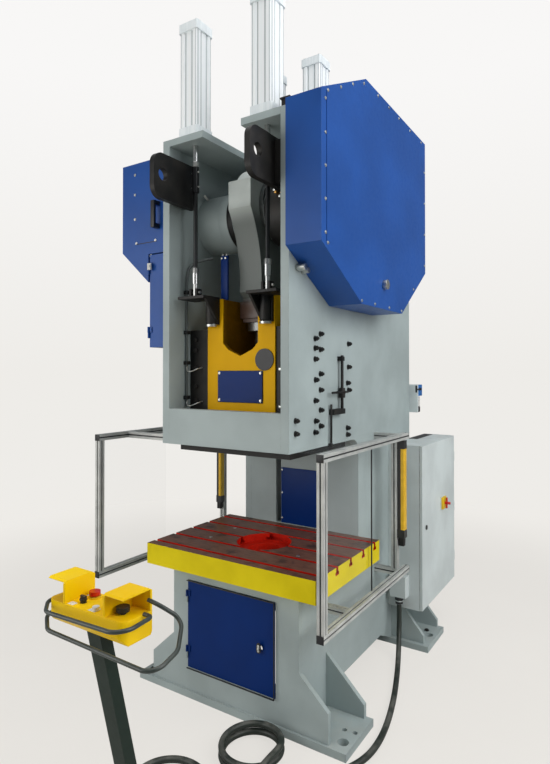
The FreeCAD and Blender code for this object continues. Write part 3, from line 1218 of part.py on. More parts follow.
def arc_path(points, share=0.45, top_radius=None):
    """Straight runs joined by tangent arcs, and the arcs' radii."""
    spots = [Vector(*point) for point in points]
    edges, radii = [], []
    last = spots[0]
    for before, here, after in zip(spots, spots[1:], spots[2:]):
        back, ahead = before - here, after - here
        turn = math.pi - back.getAngle(ahead)
        radius = share * min(back.Length, ahead.Length) / math.tan(turn / 2)
        if top_radius:
            radius = min(radius, top_radius)
        reach = radius * math.tan(turn / 2)
        start = here + Vector(back).normalize() * reach
        end = here + Vector(ahead).normalize() * reach
        inward = (Vector(back).normalize() + Vector(ahead).normalize()).normalize()
        middle = here + inward * (radius / math.cos(turn / 2) - radius)
        edges.append(Part.LineSegment(last, start).toShape())
        edges.append(Part.Arc(start, middle, end).toShape())
        radii.append(radius)
        last = end
    edges.append(Part.LineSegment(last, spots[-1]).toShape())
    return Part.Wire(edges), radii


def tube(wire, diameter):
    """A solid tube along a wire."""
    start = wire.Vertexes[0].Point
    direction = wire.Edges[0].tangentAt(wire.Edges[0].FirstParameter)
    ring = Part.Wire([Part.Circle(start, direction, diameter / 2).toShape()])
    return wire.makePipeShell([ring], True, False)


def make_rails():
    """Two bent tube rails round the front and the right of the desk."""
    thick = number("rail_dia")
    left = number("desk_x - desk_width / 2")
    right = number("desk_x + desk_width / 2")
    back = number("desk_y + desk_depth / 2")
    front, z = back - 164, number("desk_low")
    rails = [
        [(left, back - 40, z + 52), (left - 26, back - 40, z + 52), (left - 24, back - 100, z + 54),
         (left + 54, front, z + 58), (right + 44, front, z + 70), (right + 34, back - 34, z + 73),
         (right, back - 34, z + 73)],
        [(left, back - 40, z + 16), (left - 26, back - 40, z + 16), (left - 22, back - 106, z + 12),
         (left + 64, front, z + 4), (right + 175, front - 4, z), (right + 163, back - 61, z + 18),
         (right + 96, back + 32, z + 56), (right + 48, back - 16, z + 104), (right, back - 16, z + 110)],
    ]
    solids = []
    for points in rails:
        wire, radii = arc_path([tuple(at(*point)) for point in points], 0.45, 60)
        solids.append(tube(wire, thick))
    shaped("desk_rails", solids)


# ---------------------------------------------------------------- cable

def biarc(start, start_way, end, end_way):
    """Two tangent arcs from one point and direction to another."""
    gap, both = end - start, start_way + end_way
    square = 2 * (1 - start_way.dot(end_way))
    across = gap.dot(both)
    reach = (-across + math.sqrt(across ** 2 + square * gap.dot(gap))) / square
    first, second = start + start_way * reach, end - end_way * reach
    middle = (first + second) * 0.5
    arcs = []
    for near, corner, far in ((start, first, middle), (middle, second, end)):
        chord = (near + far) * 0.5
        height = corner - chord
        half = (far - near).Length / 2
        turn = math.atan2(height.Length, half)
        arcs.append(Part.Arc(near, chord + height.normalize() * half * math.tan(turn / 2), far).toShape())
    return arcs


def coil_point(angle):
    """Point and direction of the coil's middle line after turning by an angle."""
    radius, rise = number("coil_radius"), number("coil_pitch") / (2 * math.pi)
    ease = math.pi / 2
    lift = angle ** 2 / (2 * ease) if angle < ease else angle - ease / 2
    slope = min(angle / ease, 1)
    turn = -math.pi / 2 - angle
    spot = Vector(number("coil_x") + radius * math.cos(turn), number("coil_y") + radius * math.sin(turn),
                  number("cable_dia") / 2 + 0.5 + rise * lift)
    way = Vector(radius * math.sin(turn), -radius * math.cos(turn), rise * slope)
    return at(*spot), way.normalize()


def run_of_cable(label, points):
    """One stretch of the cable, with the radii of its bends."""
    wire, radii = arc_path([tuple(point) for point in points])
    solid = tube(wire, number("cable_dia"))
    section = math.pi * number("cable_dia") ** 2 / 4
    print(label, "bend radii", [round(value) for value in radii])
    print(label, "volume", round(solid.Volume), "section times length", round(section * wire.Length))
    shaped(label, [solid])


def make_cable():
    """Control cable from the cable box over the floor, its loose coil and its end at the desk post."""
    x, y = number("socket_box_x"), number("cabinet_front - socket_box_depth / 2")
    z = number("socket_box_low - gland_length + 10")
    floor = number("cable_dia") / 2 + 0.5
    first, first_way = coil_point(0)
    turns = number("coil_turns")
    last, last_way = coil_point(2 * math.pi * turns)
    lead = [
        (x, y, z), (x, y, z - 90), (x + 11.5, y - 34.5, 116), (x + 30.5, y - 91.5, 56),
        (x + 59, y - 178, floor + 2), (587, 830, floor), (648, 625, floor), (694, 425, floor),
        (714, 275, floor), (711, 145, floor), (672, 30, floor), (610, -75, floor), (520, -175, floor),
    ]
    run_of_cable("cable_lead", [at(*point) for point in lead] + [first - first_way * 140, first])

    steps = int(round(8 * turns))
    spots = [coil_point(2 * math.pi * turns * step / steps) for step in range(steps + 1)]
    edges = []
    for (here, way), (there, next_way) in zip(spots, spots[1:]):
        edges += biarc(here, way, there, next_way)
    wire = Part.Wire(edges)
    solid = tube(wire, number("cable_dia"))
    section = math.pi * number("cable_dia") ** 2 / 4
    gap = min((coil_point(angle / 10 + 2 * math.pi)[0] - coil_point(angle / 10)[0]).Length
              for angle in range(0, int(20 * math.pi * (turns - 1))))
    print("coil gap to itself", round(gap - number("cable_dia"), 2), "volume", round(solid.Volume),
          "section times length", round(section * wire.Length))
    shaped("cable_coil", [solid])

    post_x, post_z = number("post_x"), number("post_gland_z")
    lean = math.tan(math.radians(number("post_lean")))
    post_y = number("post_y + post_depth / 2 + gland_length - 10") + lean * (number("desk_low") - post_z)
    tail = [
        (396, -285, 60), (388, -370, 32), (366, -455, floor + 1), (312, -548, floor), (222, -601, floor),
        (122, -622, floor), (10, -600, floor), (-78, -508, floor), (-66, -385, floor), (26, -308, floor),
        (146, -308, floor), (238, -385, floor + 1), (264, -495, 50), (276, -585, 56), (304, -665, 61),
        (post_x, post_y + 45, post_z), (post_x, post_y, post_z),
    ]
    run_of_cable("cable_tail", [last, last + last_way * 80] + [at(*point) for point in tail])


def make_bolts():
    """Bolts of the gibs and of the slide guides, on both side plates."""
    solids = []
    half = number(HALF)
    right = [
        (296, 1907), (243, 1882), (243, 1835), (296, 1830), (243, 1781), (296, 1708), (246, 1679),
        (296, 1628), (243, 1577), (296, 1528), (246, 1477), (296, 1449), (240, 1422),
        (56, 1491), (56, 1431), (618, 1871), (617, 1745), (606, 1658), (617, 1619), (603, 1414),
        (603, 1378),
    ]
    for sign in (1, -1):
        for y, z in right:
            if sign < 0 and z > 1850 and y < 330:
                continue
            start = at(sign * half, y, z)
            out = Vector(sign, 0, 0)
            solids.append(Part.makeCylinder(13, 22, start, out))
    shaped("frame_bolts", solids)


def main():
    make_frame()
    make_table()
    make_gibs()
    make_crankshaft()
    make_gears()
    make_flywheel()
    make_connecting_rod()
    make_slide()
    make_balance()
    make_covers()
    make_guards()
    make_cabinet()
    make_doors()
    make_lubricator()
    make_desk()
    make_cable()
    make_bolts()
    write_parts()


def write_parts():
    doc.recompute()
    makers = ("Part::MultiFuse", "Part::Cut", "Part::Mirroring", "Part::Compound")
    inputs = {item.Name for user in doc.Objects if user.TypeId in makers for item in user.OutList}
    kinds = ("PartDesign::Body", "Part::MultiFuse", "Part::Cut", "Part::Compound", "Part::Feature")
    for item in doc.Objects:
        if "Invalid" in item.State or "Error" in item.State:
            raise RuntimeError("%s failed: %s" % (item.Name, item.State))
    os.makedirs("parts", exist_ok=True)
    count = 0
    for item in doc.Objects:
        if item.TypeId not in kinds or item.Name in inputs or item.getParentGeoFeatureGroup():
            continue
        if item.Shape.isNull() or not item.Shape.isValid():
            raise RuntimeError("%s has no valid shape" % item.Label)
        item.Shape.exportStep("parts/%s.step" % item.Label)
        count += 1
    print("wrote", count, "parts")


main()
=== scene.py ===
import math

import bmesh
import bpy
from mathutils import Matrix, Vector


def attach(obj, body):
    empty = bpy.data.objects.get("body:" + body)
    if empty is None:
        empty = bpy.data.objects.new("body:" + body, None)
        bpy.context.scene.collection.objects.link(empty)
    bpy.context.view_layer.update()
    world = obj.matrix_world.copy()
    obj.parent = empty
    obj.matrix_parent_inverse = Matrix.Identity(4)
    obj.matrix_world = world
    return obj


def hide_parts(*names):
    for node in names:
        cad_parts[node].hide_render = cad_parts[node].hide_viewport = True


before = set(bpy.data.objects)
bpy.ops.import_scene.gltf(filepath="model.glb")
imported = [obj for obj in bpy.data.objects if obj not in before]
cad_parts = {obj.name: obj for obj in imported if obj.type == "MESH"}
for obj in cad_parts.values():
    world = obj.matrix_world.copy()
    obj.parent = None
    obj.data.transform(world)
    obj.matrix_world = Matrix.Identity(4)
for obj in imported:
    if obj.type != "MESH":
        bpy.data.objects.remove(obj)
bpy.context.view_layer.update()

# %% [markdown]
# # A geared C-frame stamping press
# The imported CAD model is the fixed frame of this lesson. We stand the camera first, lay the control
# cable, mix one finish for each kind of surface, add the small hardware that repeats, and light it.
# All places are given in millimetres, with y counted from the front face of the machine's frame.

FRONT = -0.767


def place(x, y, z):
    """A point of the machine in metres, from millimetres with y from the frame's front."""
    return Vector((x / 1000, y / 1000 + FRONT, z / 1000))


# %% [markdown]
# ## Camera
# The photograph was taken from the right of the machine at about eye height, almost level. A tilted
# camera would make the uprights lean together, so a vertical shift of the lens centres the machine,
# as in a view camera. The numbers are pixels of the photo.

# %% Camera
PHOTO_WIDE, PHOTO_HIGH = 550, 764
FOCAL_LENGTH = 559.73
HORIZON = 366.6
SENSOR = 36


def shown(name, data):
    """A new object in the scene that shows some data."""
    made = bpy.data.objects.new(name, data)
    bpy.context.scene.collection.objects.link(made)
    return made


camera_data = bpy.data.cameras.new("camera")
camera = shown("camera", camera_data)
bpy.context.scene.camera = camera
camera_data.sensor_fit = "HORIZONTAL"
camera_data.sensor_width = SENSOR
camera_data.lens = FOCAL_LENGTH / PHOTO_WIDE * SENSOR
camera_data.shift_y = (HORIZON - PHOTO_HIGH / 2) / PHOTO_WIDE
camera.location = (1.7215, -2.9363, 1.7163)
ahead = Vector((-0.5436, 0.8393, 0.0101)).normalized()
camera.rotation_mode = "QUATERNION"
camera.rotation_quaternion = ahead.to_track_quat("-Z", "Y")
print("camera looks along", [round(v, 3) for v in ahead])

# %% [markdown]
# ## Control cable
# A heavy rubber cable leaves the gland of the small box on the right side, drops to the floor, runs
# forward past the foot, lies in nearly two loose turns and goes on to the post of the control desk.
# Joined straight tubes would look like pipe. One NURBS curve carries the whole line and rounds its
# own corners, so no bend looks like bent wire.

# %% Route of the cable
CABLE = 30
ON_FLOOR = CABLE / 2 + 0.5
COIL_X = 263
COIL_Y = -111
COIL_RADIUS = 136
COIL_RISE = 35.5
COIL_TURNS = 1.75
GENTLE = 0.25  # the part of the first turn in which the coil only begins to rise
STEPS = 12

lead = [
    (473, 1175, 294), (473, 1175, 204), (484.5, 1140.5, 116), (503.5, 1083.5, 56), (532, 997, 17.5),
    (587, 830, ON_FLOOR), (648, 625, ON_FLOOR), (694, 425, ON_FLOOR), (714, 275, ON_FLOOR),
    (711, 145, ON_FLOOR), (672, 30, ON_FLOOR), (610, -75, ON_FLOOR), (520, -175, ON_FLOOR),
    (403, -247, ON_FLOOR),
]
tail = [
    (399, -191, 76.5), (396, -285, 60), (388, -370, 32), (366, -455, 16.5), (312, -548, ON_FLOOR),
    (222, -601, ON_FLOOR), (122, -622, ON_FLOOR), (10, -600, ON_FLOOR), (-78, -508, ON_FLOOR),
    (-66, -385, ON_FLOOR), (26, -308, ON_FLOOR), (146, -308, ON_FLOOR), (238, -385, 16.5),
    (264, -495, 50), (276, -585, 56), (304, -665, 61), (312, -701.8, 62), (312, -746.8, 62),
]
# A quadratic curve cuts inside its control points, which therefore stand a little outside the turn.
reach = COIL_RADIUS / ((1 + math.cos(math.pi / STEPS)) / 2)
turns = []
for step in range(int(COIL_TURNS * STEPS)):
    turned = (step + 0.5) / STEPS
    angle = -math.pi / 2 - 2 * math.pi * turned
    lift = turned * turned / (2 * GENTLE) if turned < GENTLE else turned - GENTLE / 2
    turns.append((COIL_X + reach * math.cos(angle), COIL_Y + reach * math.sin(angle),
                  ON_FLOOR + COIL_RISE * lift))


def curve_piece(name, points, radius):
    """A round curve led by its control points, as an object at the origin."""
    data = bpy.data.curves.new(name, "CURVE")
    data.dimensions = "3D"
    data.bevel_depth = radius / 1000
    data.bevel_resolution = 5
    data.resolution_u = 8
    data.use_fill_caps = True
    spline = data.splines.new("NURBS")
    spline.points.add(len(points) - 1)
    for knot, spot in zip(spline.points, points):
        knot.co = (*place(*spot), 1)
    spline.order_u = 3
    spline.use_endpoint_u = True
    return shown(name, data)


cable = curve_piece("control_cable", lead + turns + tail, CABLE / 2)
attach(cable, "press")
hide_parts("cable_lead", "cable_coil", "cable_tail")
tuple(place(473, 1175, 294))
print("cable has", len(lead + turns + tail), "control points")

# %% [markdown]
# ## Shader maths
# A finish is a small sum of masks: dust, wear, orange peel. Node by node it would be long, so one
# function adds a node with its inputs, and one class wraps a socket and lets Python's own operators
# add the Math nodes.


# %% Node helper
def add_node(tree, kind, settings=None, **inputs):
    """Add a node, then set or link its inputs; in_3 stands for input number 3."""
    made = tree.nodes.new(kind)
    for key, setting in (settings or {}).items():
        setattr(made, key, setting)
    for key, given in inputs.items():
        socket = made.inputs[int(key[3:]) if key.startswith("in_") else key.replace("_", " ")]
        if isinstance(given, bpy.types.NodeSocket):
            tree.links.new(given, socket)
        else:
            socket.default_value = given
    return made


# %% Socket wrapper
class Value:
    """A socket of a material's node tree that takes part in ordinary arithmetic."""

    def __init__(self, tree, socket):
        self.tree = tree
        self.socket = socket

    def node(self, kind, settings=None, output=0, **inputs):
        """Add any node to the tree of this value and give back one of its outputs."""
        given = {key: entry.socket if isinstance(entry, Value) else entry
                 for key, entry in inputs.items()}
        return Value(self.tree, add_node(self.tree, kind, settings, **given).outputs[output])

    def maths(self, operation, second=0.0, third=0.0):
        return self.node("ShaderNodeMath", {"operation": operation},
                         in_0=self, in_1=second, in_2=third)

    def __add__(self, other):
        return self.maths("ADD", other)

    def __sub__(self, other):
        return self.maths("SUBTRACT", other)

    def __rsub__(self, other):
        return self.maths("MULTIPLY_ADD", -1.0, other)

    def __mul__(self, other):
        return self.maths("MULTIPLY", other)

    def __gt__(self, other):
        return self.maths("GREATER_THAN", other)

    def __lt__(self, other):
        return self.maths("LESS_THAN", other)

    def __abs__(self):
        return self.maths("ABSOLUTE")

    __radd__ = __add__
    __rmul__ = __mul__

    def ramp(self, low, high, bottom=0.0, top=1.0):
        """Rise smoothly from bottom to top while this value goes from low to high."""
        return self.node("ShaderNodeMapRange", {"interpolation_type": "SMOOTHSTEP"},
                         in_0=self, in_1=low, in_2=high, in_3=bottom, in_4=top)

    def tint(self, first, second):
        """Mix two colours, or colour sockets, by this value."""
        return self.node("ShaderNodeMix", {"data_type": "RGBA"}, output=2,
                         in_0=self, in_6=first, in_7=second)

    def mottle(self, first, second):
        """Mix two colours by the cloudy middle of a noise."""
        return self.ramp(0.3, 0.7).tint(first, second)


def srgb(red, green, blue):
    """A colour as picked on a screen, 0 to 255, in the linear numbers that shaders use."""
    parts = [part / 255 for part in (red, green, blue)]
    return (*(part / 12.92 if part <= 0.04045 else ((part + 0.055) / 1.055) ** 2.4
              for part in parts), 1.0)


def toned(colour, factor):
    """A colour made lighter or darker by a factor."""
    return (*(min(1.0, part * factor) for part in colour[:3]), 1.0)


# %% Finish class
FINISHES = {}
ROUNDING = {"samples": 4}


class Finish:
    """One material: its shader, the object coordinates and the masks most finishes share."""

    def __init__(self, slot, **constants):
        self.material = bpy.data.materials.new(slot)
        self.material.use_nodes = True
        self.tree = self.material.node_tree
        self.tree.nodes.clear()
        self.shader = add_node(self.tree, "ShaderNodeBsdfPrincipled", **constants)
        self.output = add_node(self.tree, "ShaderNodeOutputMaterial",
                               Surface=self.shader.outputs[0])
        self.start = Value(self.tree, None)
        self.place = self.start.node("ShaderNodeTexCoord", output="Object")
        self.normal = self.start.node("ShaderNodeNewGeometry", output="Normal")
        FINISHES[slot] = self.material

    def noise(self, scale, detail=3.0, roughness=0.5, at=None):
        """Cloudy noise, about 0.5 on average, with `scale` blobs to the metre."""
        return self.start.node("ShaderNodeTexNoise", Vector=at or self.place, Scale=scale,
                               Detail=detail, Roughness=roughness)

    def stretched(self, x, y, z):
        """Object coordinates with each axis scaled by itself, for brushing and streaks."""
        return self.start.node("ShaderNodeVectorMath", {"operation": "MULTIPLY"},
                               in_0=self.place, in_1=(x, y, z))

    def parts(self, vector):
        """The three components of a vector as values."""
        split = add_node(self.tree, "ShaderNodeSeparateXYZ", in_0=vector.socket)
        return [Value(self.tree, out) for out in split.outputs]

    def edge(self, radius):
        """1 near the sharp edges and 0 on the flats, from a rounded normal set against the real."""
        rounded = self.start.node("ShaderNodeBevel", ROUNDING, Radius=radius / 1000)
        along = self.start.node("ShaderNodeVectorMath", {"operation": "DOT_PRODUCT"}, output=1,
                                in_0=rounded, in_1=self.normal)
        return along.ramp(0.995, 0.93)

    def feed(self, **links):
        for key, value in links.items():
            self.tree.links.new(value.socket, self.shader.inputs[key.replace("_", " ")])

    def relief(self, height, strength, distance, round_off):
        """Bump from a height value; edges are eased by round_off millimetres."""
        eased = self.start.node("ShaderNodeBevel", ROUNDING, Radius=round_off / 1000)
        self.feed(Normal=self.start.node("ShaderNodeBump", Height=height, Strength=strength,
                                         Distance=distance / 1000, Normal=eased))


print("shader helpers ready")

# %% [markdown]
# ## Paints
# The frame is sprayed machine enamel: a thick film with a slight orange peel, a little dust on what
# faces up, thin grey scuffs near the corners. The sheet-metal covers have the same in blue, the
# desk in yellow. One plain colour would look like plastic; noise in object coordinates fits every
# piece. `sheen` lowers the reflection of the darker paints, which would wash them out.


# %% Enamel paints
def enamel(slot, colour, worn, gloss=0.38, peel=0.25, dust=0.25, sheen=0.4):
    """Machine paint with orange peel, faint blotches, dust on ledges and worn edges."""
    paint = Finish(slot, IOR=1.5, Specular_IOR_Level=sheen)
    blotches = paint.noise(3.0, 4.0)
    grain = paint.noise(420.0, 2.0)
    scuffs = paint.noise(38.0, 6.0, 0.65)
    up = paint.parts(paint.normal)[2].ramp(0.55, 0.95)
    dusty = up * paint.noise(14.0, 5.0).ramp(0.3, 0.75) * dust
    edges = paint.edge(3.0) * scuffs.ramp(0.42, 0.62)
    base = blotches.mottle(toned(colour, 0.90), toned(colour, 1.10))
    base = dusty.tint(base, srgb(176, 172, 162))
    base = (edges * 0.55).tint(base, worn)
    rough = gloss + scuffs.ramp(0.35, 0.8) * 0.10 + dusty * 0.4 + edges * 0.15
    paint.feed(Base_Color=base, Roughness=rough)
    paint.relief(grain + blotches * 1.5, peel, 0.12, round_off=2.0)


enamel("frame_paint", srgb(160, 172, 172), srgb(120, 124, 122), sheen=0.3)
enamel("cover_blue", srgb(28, 76, 150), srgb(60, 100, 160), gloss=0.34, peel=0.2, sheen=0.28)
enamel("panel_blue", srgb(2, 42, 106), srgb(16, 44, 90), gloss=0.34, peel=0.15, sheen=0.12)
enamel("desk_yellow", srgb(255, 206, 2), srgb(240, 205, 60), gloss=0.36, peel=0.12, dust=0.04,
       sheen=0.15)
enamel("post_paint", srgb(24, 40, 33), srgb(70, 78, 72), gloss=0.4, peel=0.1, dust=0.15, sheen=0.2)
enamel("cabinet_grey", srgb(202, 211, 211), srgb(150, 152, 150), gloss=0.45, peel=0.5)
print("enamels:", sorted(FINISHES))

# %% [markdown]
# ## Die table
# The table is one casting with four finishes: its sides are lemon yellow, its ground top is dark
# with oil, and the T-slots and the round recess are sprayed red so that a forgotten bolt is seen.
# It could be cut into pieces with a material each, but masks from the surface's own height and
# direction tell them apart and leave it whole.

# %% Table finish
TABLE_TOP = 0.791
TABLE_MIDDLE = 0.387
TABLE_HALF_WIDE, TABLE_HALF_DEEP = 0.5194, 0.3644  # a little inside the table's sides
SLOT_FOOT = 0.684
table = Finish("table_yellow", IOR=1.5, Specular_IOR_Level=0.12)
tx, ty, tz = table.parts(table.place)
facing_up = table.parts(table.normal)[2] > 0.9
top = (tz > TABLE_TOP - 0.0006) * facing_up
outer = ((abs(tx) > TABLE_HALF_WIDE) + (abs(ty + TABLE_MIDDLE) > TABLE_HALF_DEEP)
         + (tz < SLOT_FOOT)).maths("MINIMUM", 1.0)
cloud = table.noise(6.0, 5.0)
streak = table.noise(30.0, 4.0, at=table.stretched(0.6, 6.0, 1.0))
stain = table.noise(11.0, 6.0, 0.6)
yellow = cloud.mottle(srgb(212, 192, 4), srgb(226, 206, 14))
red = stain.mottle(srgb(172, 24, 12), srgb(206, 34, 14))
steel = streak.mottle(srgb(98, 67, 54), srgb(134, 92, 73))
steel = stain.ramp(0.52, 0.72).tint(steel, srgb(66, 50, 44))
shine = top.ramp(0.0, 1.0, 0.42, 0.30) + stain.ramp(0.3, 0.8) * 0.12
table.feed(Base_Color=top.tint(outer.tint(red, yellow), steel), Roughness=shine, Metallic=top * 0.3)
table.relief(streak + table.noise(300.0, 2.0) * 0.5, 0.2, 0.1, round_off=1.2)
print("table top at", TABLE_TOP, "m")

# %% [markdown]
# ## Bare and blackened metals
# Black-oxide steel is dull with brownish rub marks; ground steel keeps fine lines from the wheel;
# castings are rough; anodised profiles are pale and even. All are two tones blotched together with
# a fine grit, so one function makes them, and a stretched noise gives drawn lines.


# %% Metals
def metal(slot, dark, light, rough, spread, scale=8.0, grit=120.0, depth=0.2, lines=None,
          metallic=1.0):
    """Bare metal: two tones blotched together, uneven gloss and fine grit or drawn lines."""
    bare = Finish(slot, Metallic=metallic)
    patches = bare.noise(scale, 5.0, 0.6)
    fine = bare.noise(grit, 3.0, at=bare.stretched(*lines) if lines else None)
    edges = bare.edge(1.5)
    tone = (edges * 0.5).tint(patches.mottle(dark, light), light)
    bare.feed(Base_Color=tone, Roughness=rough + patches.ramp(0.25, 0.75) * spread + fine * 0.06)
    bare.relief(fine, depth, 0.08, round_off=1.0)


metal("black_steel", srgb(30, 31, 32), srgb(52, 50, 48), 0.38, 0.2, metallic=0.6)
metal("ground_steel", srgb(120, 124, 126), srgb(158, 160, 158), 0.28, 0.2, lines=(1, 1, 14))
metal("cast", srgb(58, 60, 60), srgb(82, 84, 82), 0.5, 0.2, grit=260.0, depth=0.5, metallic=0.4)
metal("profile", srgb(176, 178, 176), srgb(204, 206, 202), 0.4, 0.1, grit=400.0, depth=0.1,
      metallic=0.35)
metal("zinc", srgb(176, 178, 176), srgb(208, 208, 202), 0.26, 0.14, scale=60.0)
metal("brass", srgb(176, 128, 60), srgb(206, 160, 92), 0.3, 0.14, scale=60.0)
print("metals:", sorted(FINISHES))

# %% [markdown]
# ## Plastics and rubber
# Moulded plastics have a fine spark-eroded grain; rubber is duller and greyed by dust on its upper
# side. They have no blotches or scuffed corners, so their function is shorter than the enamels'.


# %% Plastics and rubber
def plastic(slot, colour, rough, grain=600.0, dust=0.15, coat=0.0):
    """Moulded plastic or rubber with fine grain and a little dust on what faces up."""
    moulded = Finish(slot, IOR=1.48, Coat_Weight=coat)
    cloud = moulded.noise(12.0, 4.0)
    fine = moulded.noise(grain, 2.0)
    up = moulded.parts(moulded.normal)[2].ramp(0.3, 0.95)
    dusty = up * cloud.ramp(0.35, 0.7) * dust
    tone = dusty.tint(cloud.mottle(toned(colour, 0.86), colour), srgb(150, 147, 140))
    moulded.feed(Base_Color=tone, Roughness=rough + fine * 0.08 + dusty * 0.5)
    moulded.relief(fine, 0.12, 0.06, round_off=0.8)


plastic("black_plastic", srgb(30, 31, 33), 0.4)
plastic("red_plastic", srgb(204, 22, 16), 0.3, coat=0.2)
plastic("white_plastic", srgb(226, 226, 220), 0.35)
plastic("cable_black", srgb(34, 42, 36), 0.42, grain=900.0, dust=0.3)
plastic("belt_rubber", srgb(34, 34, 34), 0.62, dust=0.1)
plastic("switch_yellow", srgb(236, 196, 20), 0.35)
plastic("lube_blue", srgb(36, 104, 176), 0.4)
plastic("grey_pipe", srgb(92, 100, 100), 0.35)
plastic("rail_black", srgb(54, 62, 58), 0.3, dust=0.1)
print("with plastics:", len(FINISHES), "finishes")

# %% [markdown]
# ## Clear sheet and light curtains
# The guards are clear polycarbonate, which shows mostly at its edges and by its reflections. Real
# refraction would be slow, so a low alpha is used. The light curtains are yellow bars with black
# caps and a black lens on the side that looks at the other bar.

# %% Clear sheets
clear = Finish("clear", IOR=1.45, Roughness=0.06, Alpha=0.02)
clear.feed(Base_Color=clear.noise(5.0, 3.0).mottle(srgb(206, 220, 226), srgb(222, 232, 236)))
glass = Finish("lube_glass", IOR=1.45, Roughness=0.1, Alpha=0.4)
glass.feed(Base_Color=glass.noise(20.0, 4.0).mottle(srgb(150, 156, 156), srgb(196, 200, 198)))

# %% Light curtains
LEFT_TO_RIGHT = 1.461
LENS_X = 0.557
CAP_FOOT, CAP_HEAD = 0.796, 1.268
curtain = Finish("curtain", IOR=1.5)
cx, _, cz = curtain.parts(curtain.place)
bands = curtain.noise(30.0, 3.0)
on_left = cx < 0.0
lens = (cx + on_left * LEFT_TO_RIGHT) < LENS_X
cap = ((cz > CAP_HEAD) + (cz < CAP_FOOT) + lens).maths("MINIMUM", 1.0)
dark = bands.mottle(srgb(28, 29, 30), srgb(40, 41, 42))
bright = bands.mottle(srgb(214, 168, 22), srgb(228, 182, 34))
curtain.feed(Base_Color=cap.tint(bright, dark), Roughness=0.35 + bands * 0.1)
curtain.relief(bands, 0.1, 0.1, round_off=1.0)
print("clear sheets and curtains mixed")

# %% [markdown]
# ## Finishes that change along a piece
# The connecting rod is enamelled above and brown with old grease near the ball screw. The pull rods
# are black sleeves with polished ends. The air cylinders are drawn tubes with shallow grooves. Each
# is one solid, so a mask from its own height or place changes the finish along it.

# %% Connecting rod
GREASE_START, GREASE_END = 2.105, 2.155
SHADE_TO_LIGHT = (2.48, 2.62)
rod = Finish("rod_paint", IOR=1.5)
height = rod.parts(rod.place)[2]
smear = rod.noise(16.0, 6.0, 0.65)
greasy = (height + smear * 0.06).ramp(GREASE_END, GREASE_START)
# The paint is darker low on the rod and lighter high up: painted shade and light.
paint_tone = height.ramp(*SHADE_TO_LIGHT).tint(srgb(100, 107, 104), srgb(200, 208, 204))
paint_tone = (rod.noise(4.0, 4.0).ramp(0.3, 0.7) * 0.25).tint(paint_tone, srgb(112, 118, 114))
grease = smear.mottle(srgb(62, 42, 34), srgb(88, 66, 54))
rod.feed(Base_Color=greasy.tint(paint_tone, grease), Roughness=0.45 - greasy * 0.15 + smear * 0.1)
rod.relief(smear + rod.noise(420.0, 2.0) * 0.4, 0.25, 0.15, round_off=2.0)
print("grease reaches up to", GREASE_END, "m")

# %% Pull rods
SLEEVE_FOOT, SLEEVE_HEAD = 2.262, 2.797
pull = Finish("pull_rod")
height = pull.parts(pull.place)[2]
sleeve = (height > SLEEVE_FOOT) * (height < SLEEVE_HEAD)
drawn = pull.noise(30.0, 3.0, at=pull.stretched(1, 1, 0.1))
blackened = drawn.mottle(srgb(24, 26, 28), srgb(40, 42, 44))
silver = drawn.mottle(srgb(176, 178, 178), srgb(206, 206, 204))
pull.feed(Base_Color=sleeve.tint(silver, blackened), Metallic=0.95 - sleeve * 0.5,
          Roughness=0.2 + sleeve * 0.12 + drawn * 0.06)
pull.relief(drawn, 0.1, 0.05, round_off=1.0)
print("sleeves from", SLEEVE_FOOT, "to", SLEEVE_HEAD, "m")

# %% Air cylinders
FRONT_X, FRONT_Y = 0.228, 0.696  # the front pair's axes, left and right of and before the origin
REAR_INWARD, REAR_BACK = 0.079, 0.628  # from a front cylinder to the one behind it
BARREL_FOOT, BARREL_HEAD = 2.990, 3.488
tube = Finish("cylinder", IOR=1.5)
cx, cy, cz = tube.parts(tube.place)
at_rear = cy > -0.4
across = abs(abs(cx) - FRONT_X + at_rear * REAR_INWARD)
along = abs(cy + FRONT_Y - at_rear * REAR_BACK)
side_face = abs(tube.parts(tube.normal)[0]) > 0.7
offset = across + (along - across) * side_face
groove = (offset.ramp(0.0165, 0.0185) * offset.ramp(0.0255, 0.0235)
          + offset.ramp(0.046, 0.048) * offset.ramp(0.0535, 0.0515)).maths("MINIMUM", 1.0)
barrel = (cz > BARREL_FOOT) * (cz < BARREL_HEAD)
brushed = tube.noise(60.0, 3.0, at=tube.stretched(1, 1, 0.05))
light = brushed.mottle(srgb(242, 248, 250), srgb(250, 253, 254))
cap_tone = brushed.mottle(srgb(226, 234, 237), srgb(240, 246, 248))
# The grooves are darkened in colour: painted shade in them.
shaded = (groove * barrel * 0.7).tint(light, srgb(120, 130, 136))
tube.feed(Base_Color=barrel.tint(cap_tone, shaded), Roughness=0.34 + brushed * 0.1)
tube.relief(brushed * 0.4 - groove * barrel, 0.4, 0.8, round_off=1.5)
print("barrels are", round(BARREL_HEAD - BARREL_FOOT, 3), "m long")

# %% [markdown]
# ## Slide
# The slide is yellow in front and brown with grease in its hollow, where the rod works. The mask is
# the box of that hollow, so the grease needs no solid of its own.

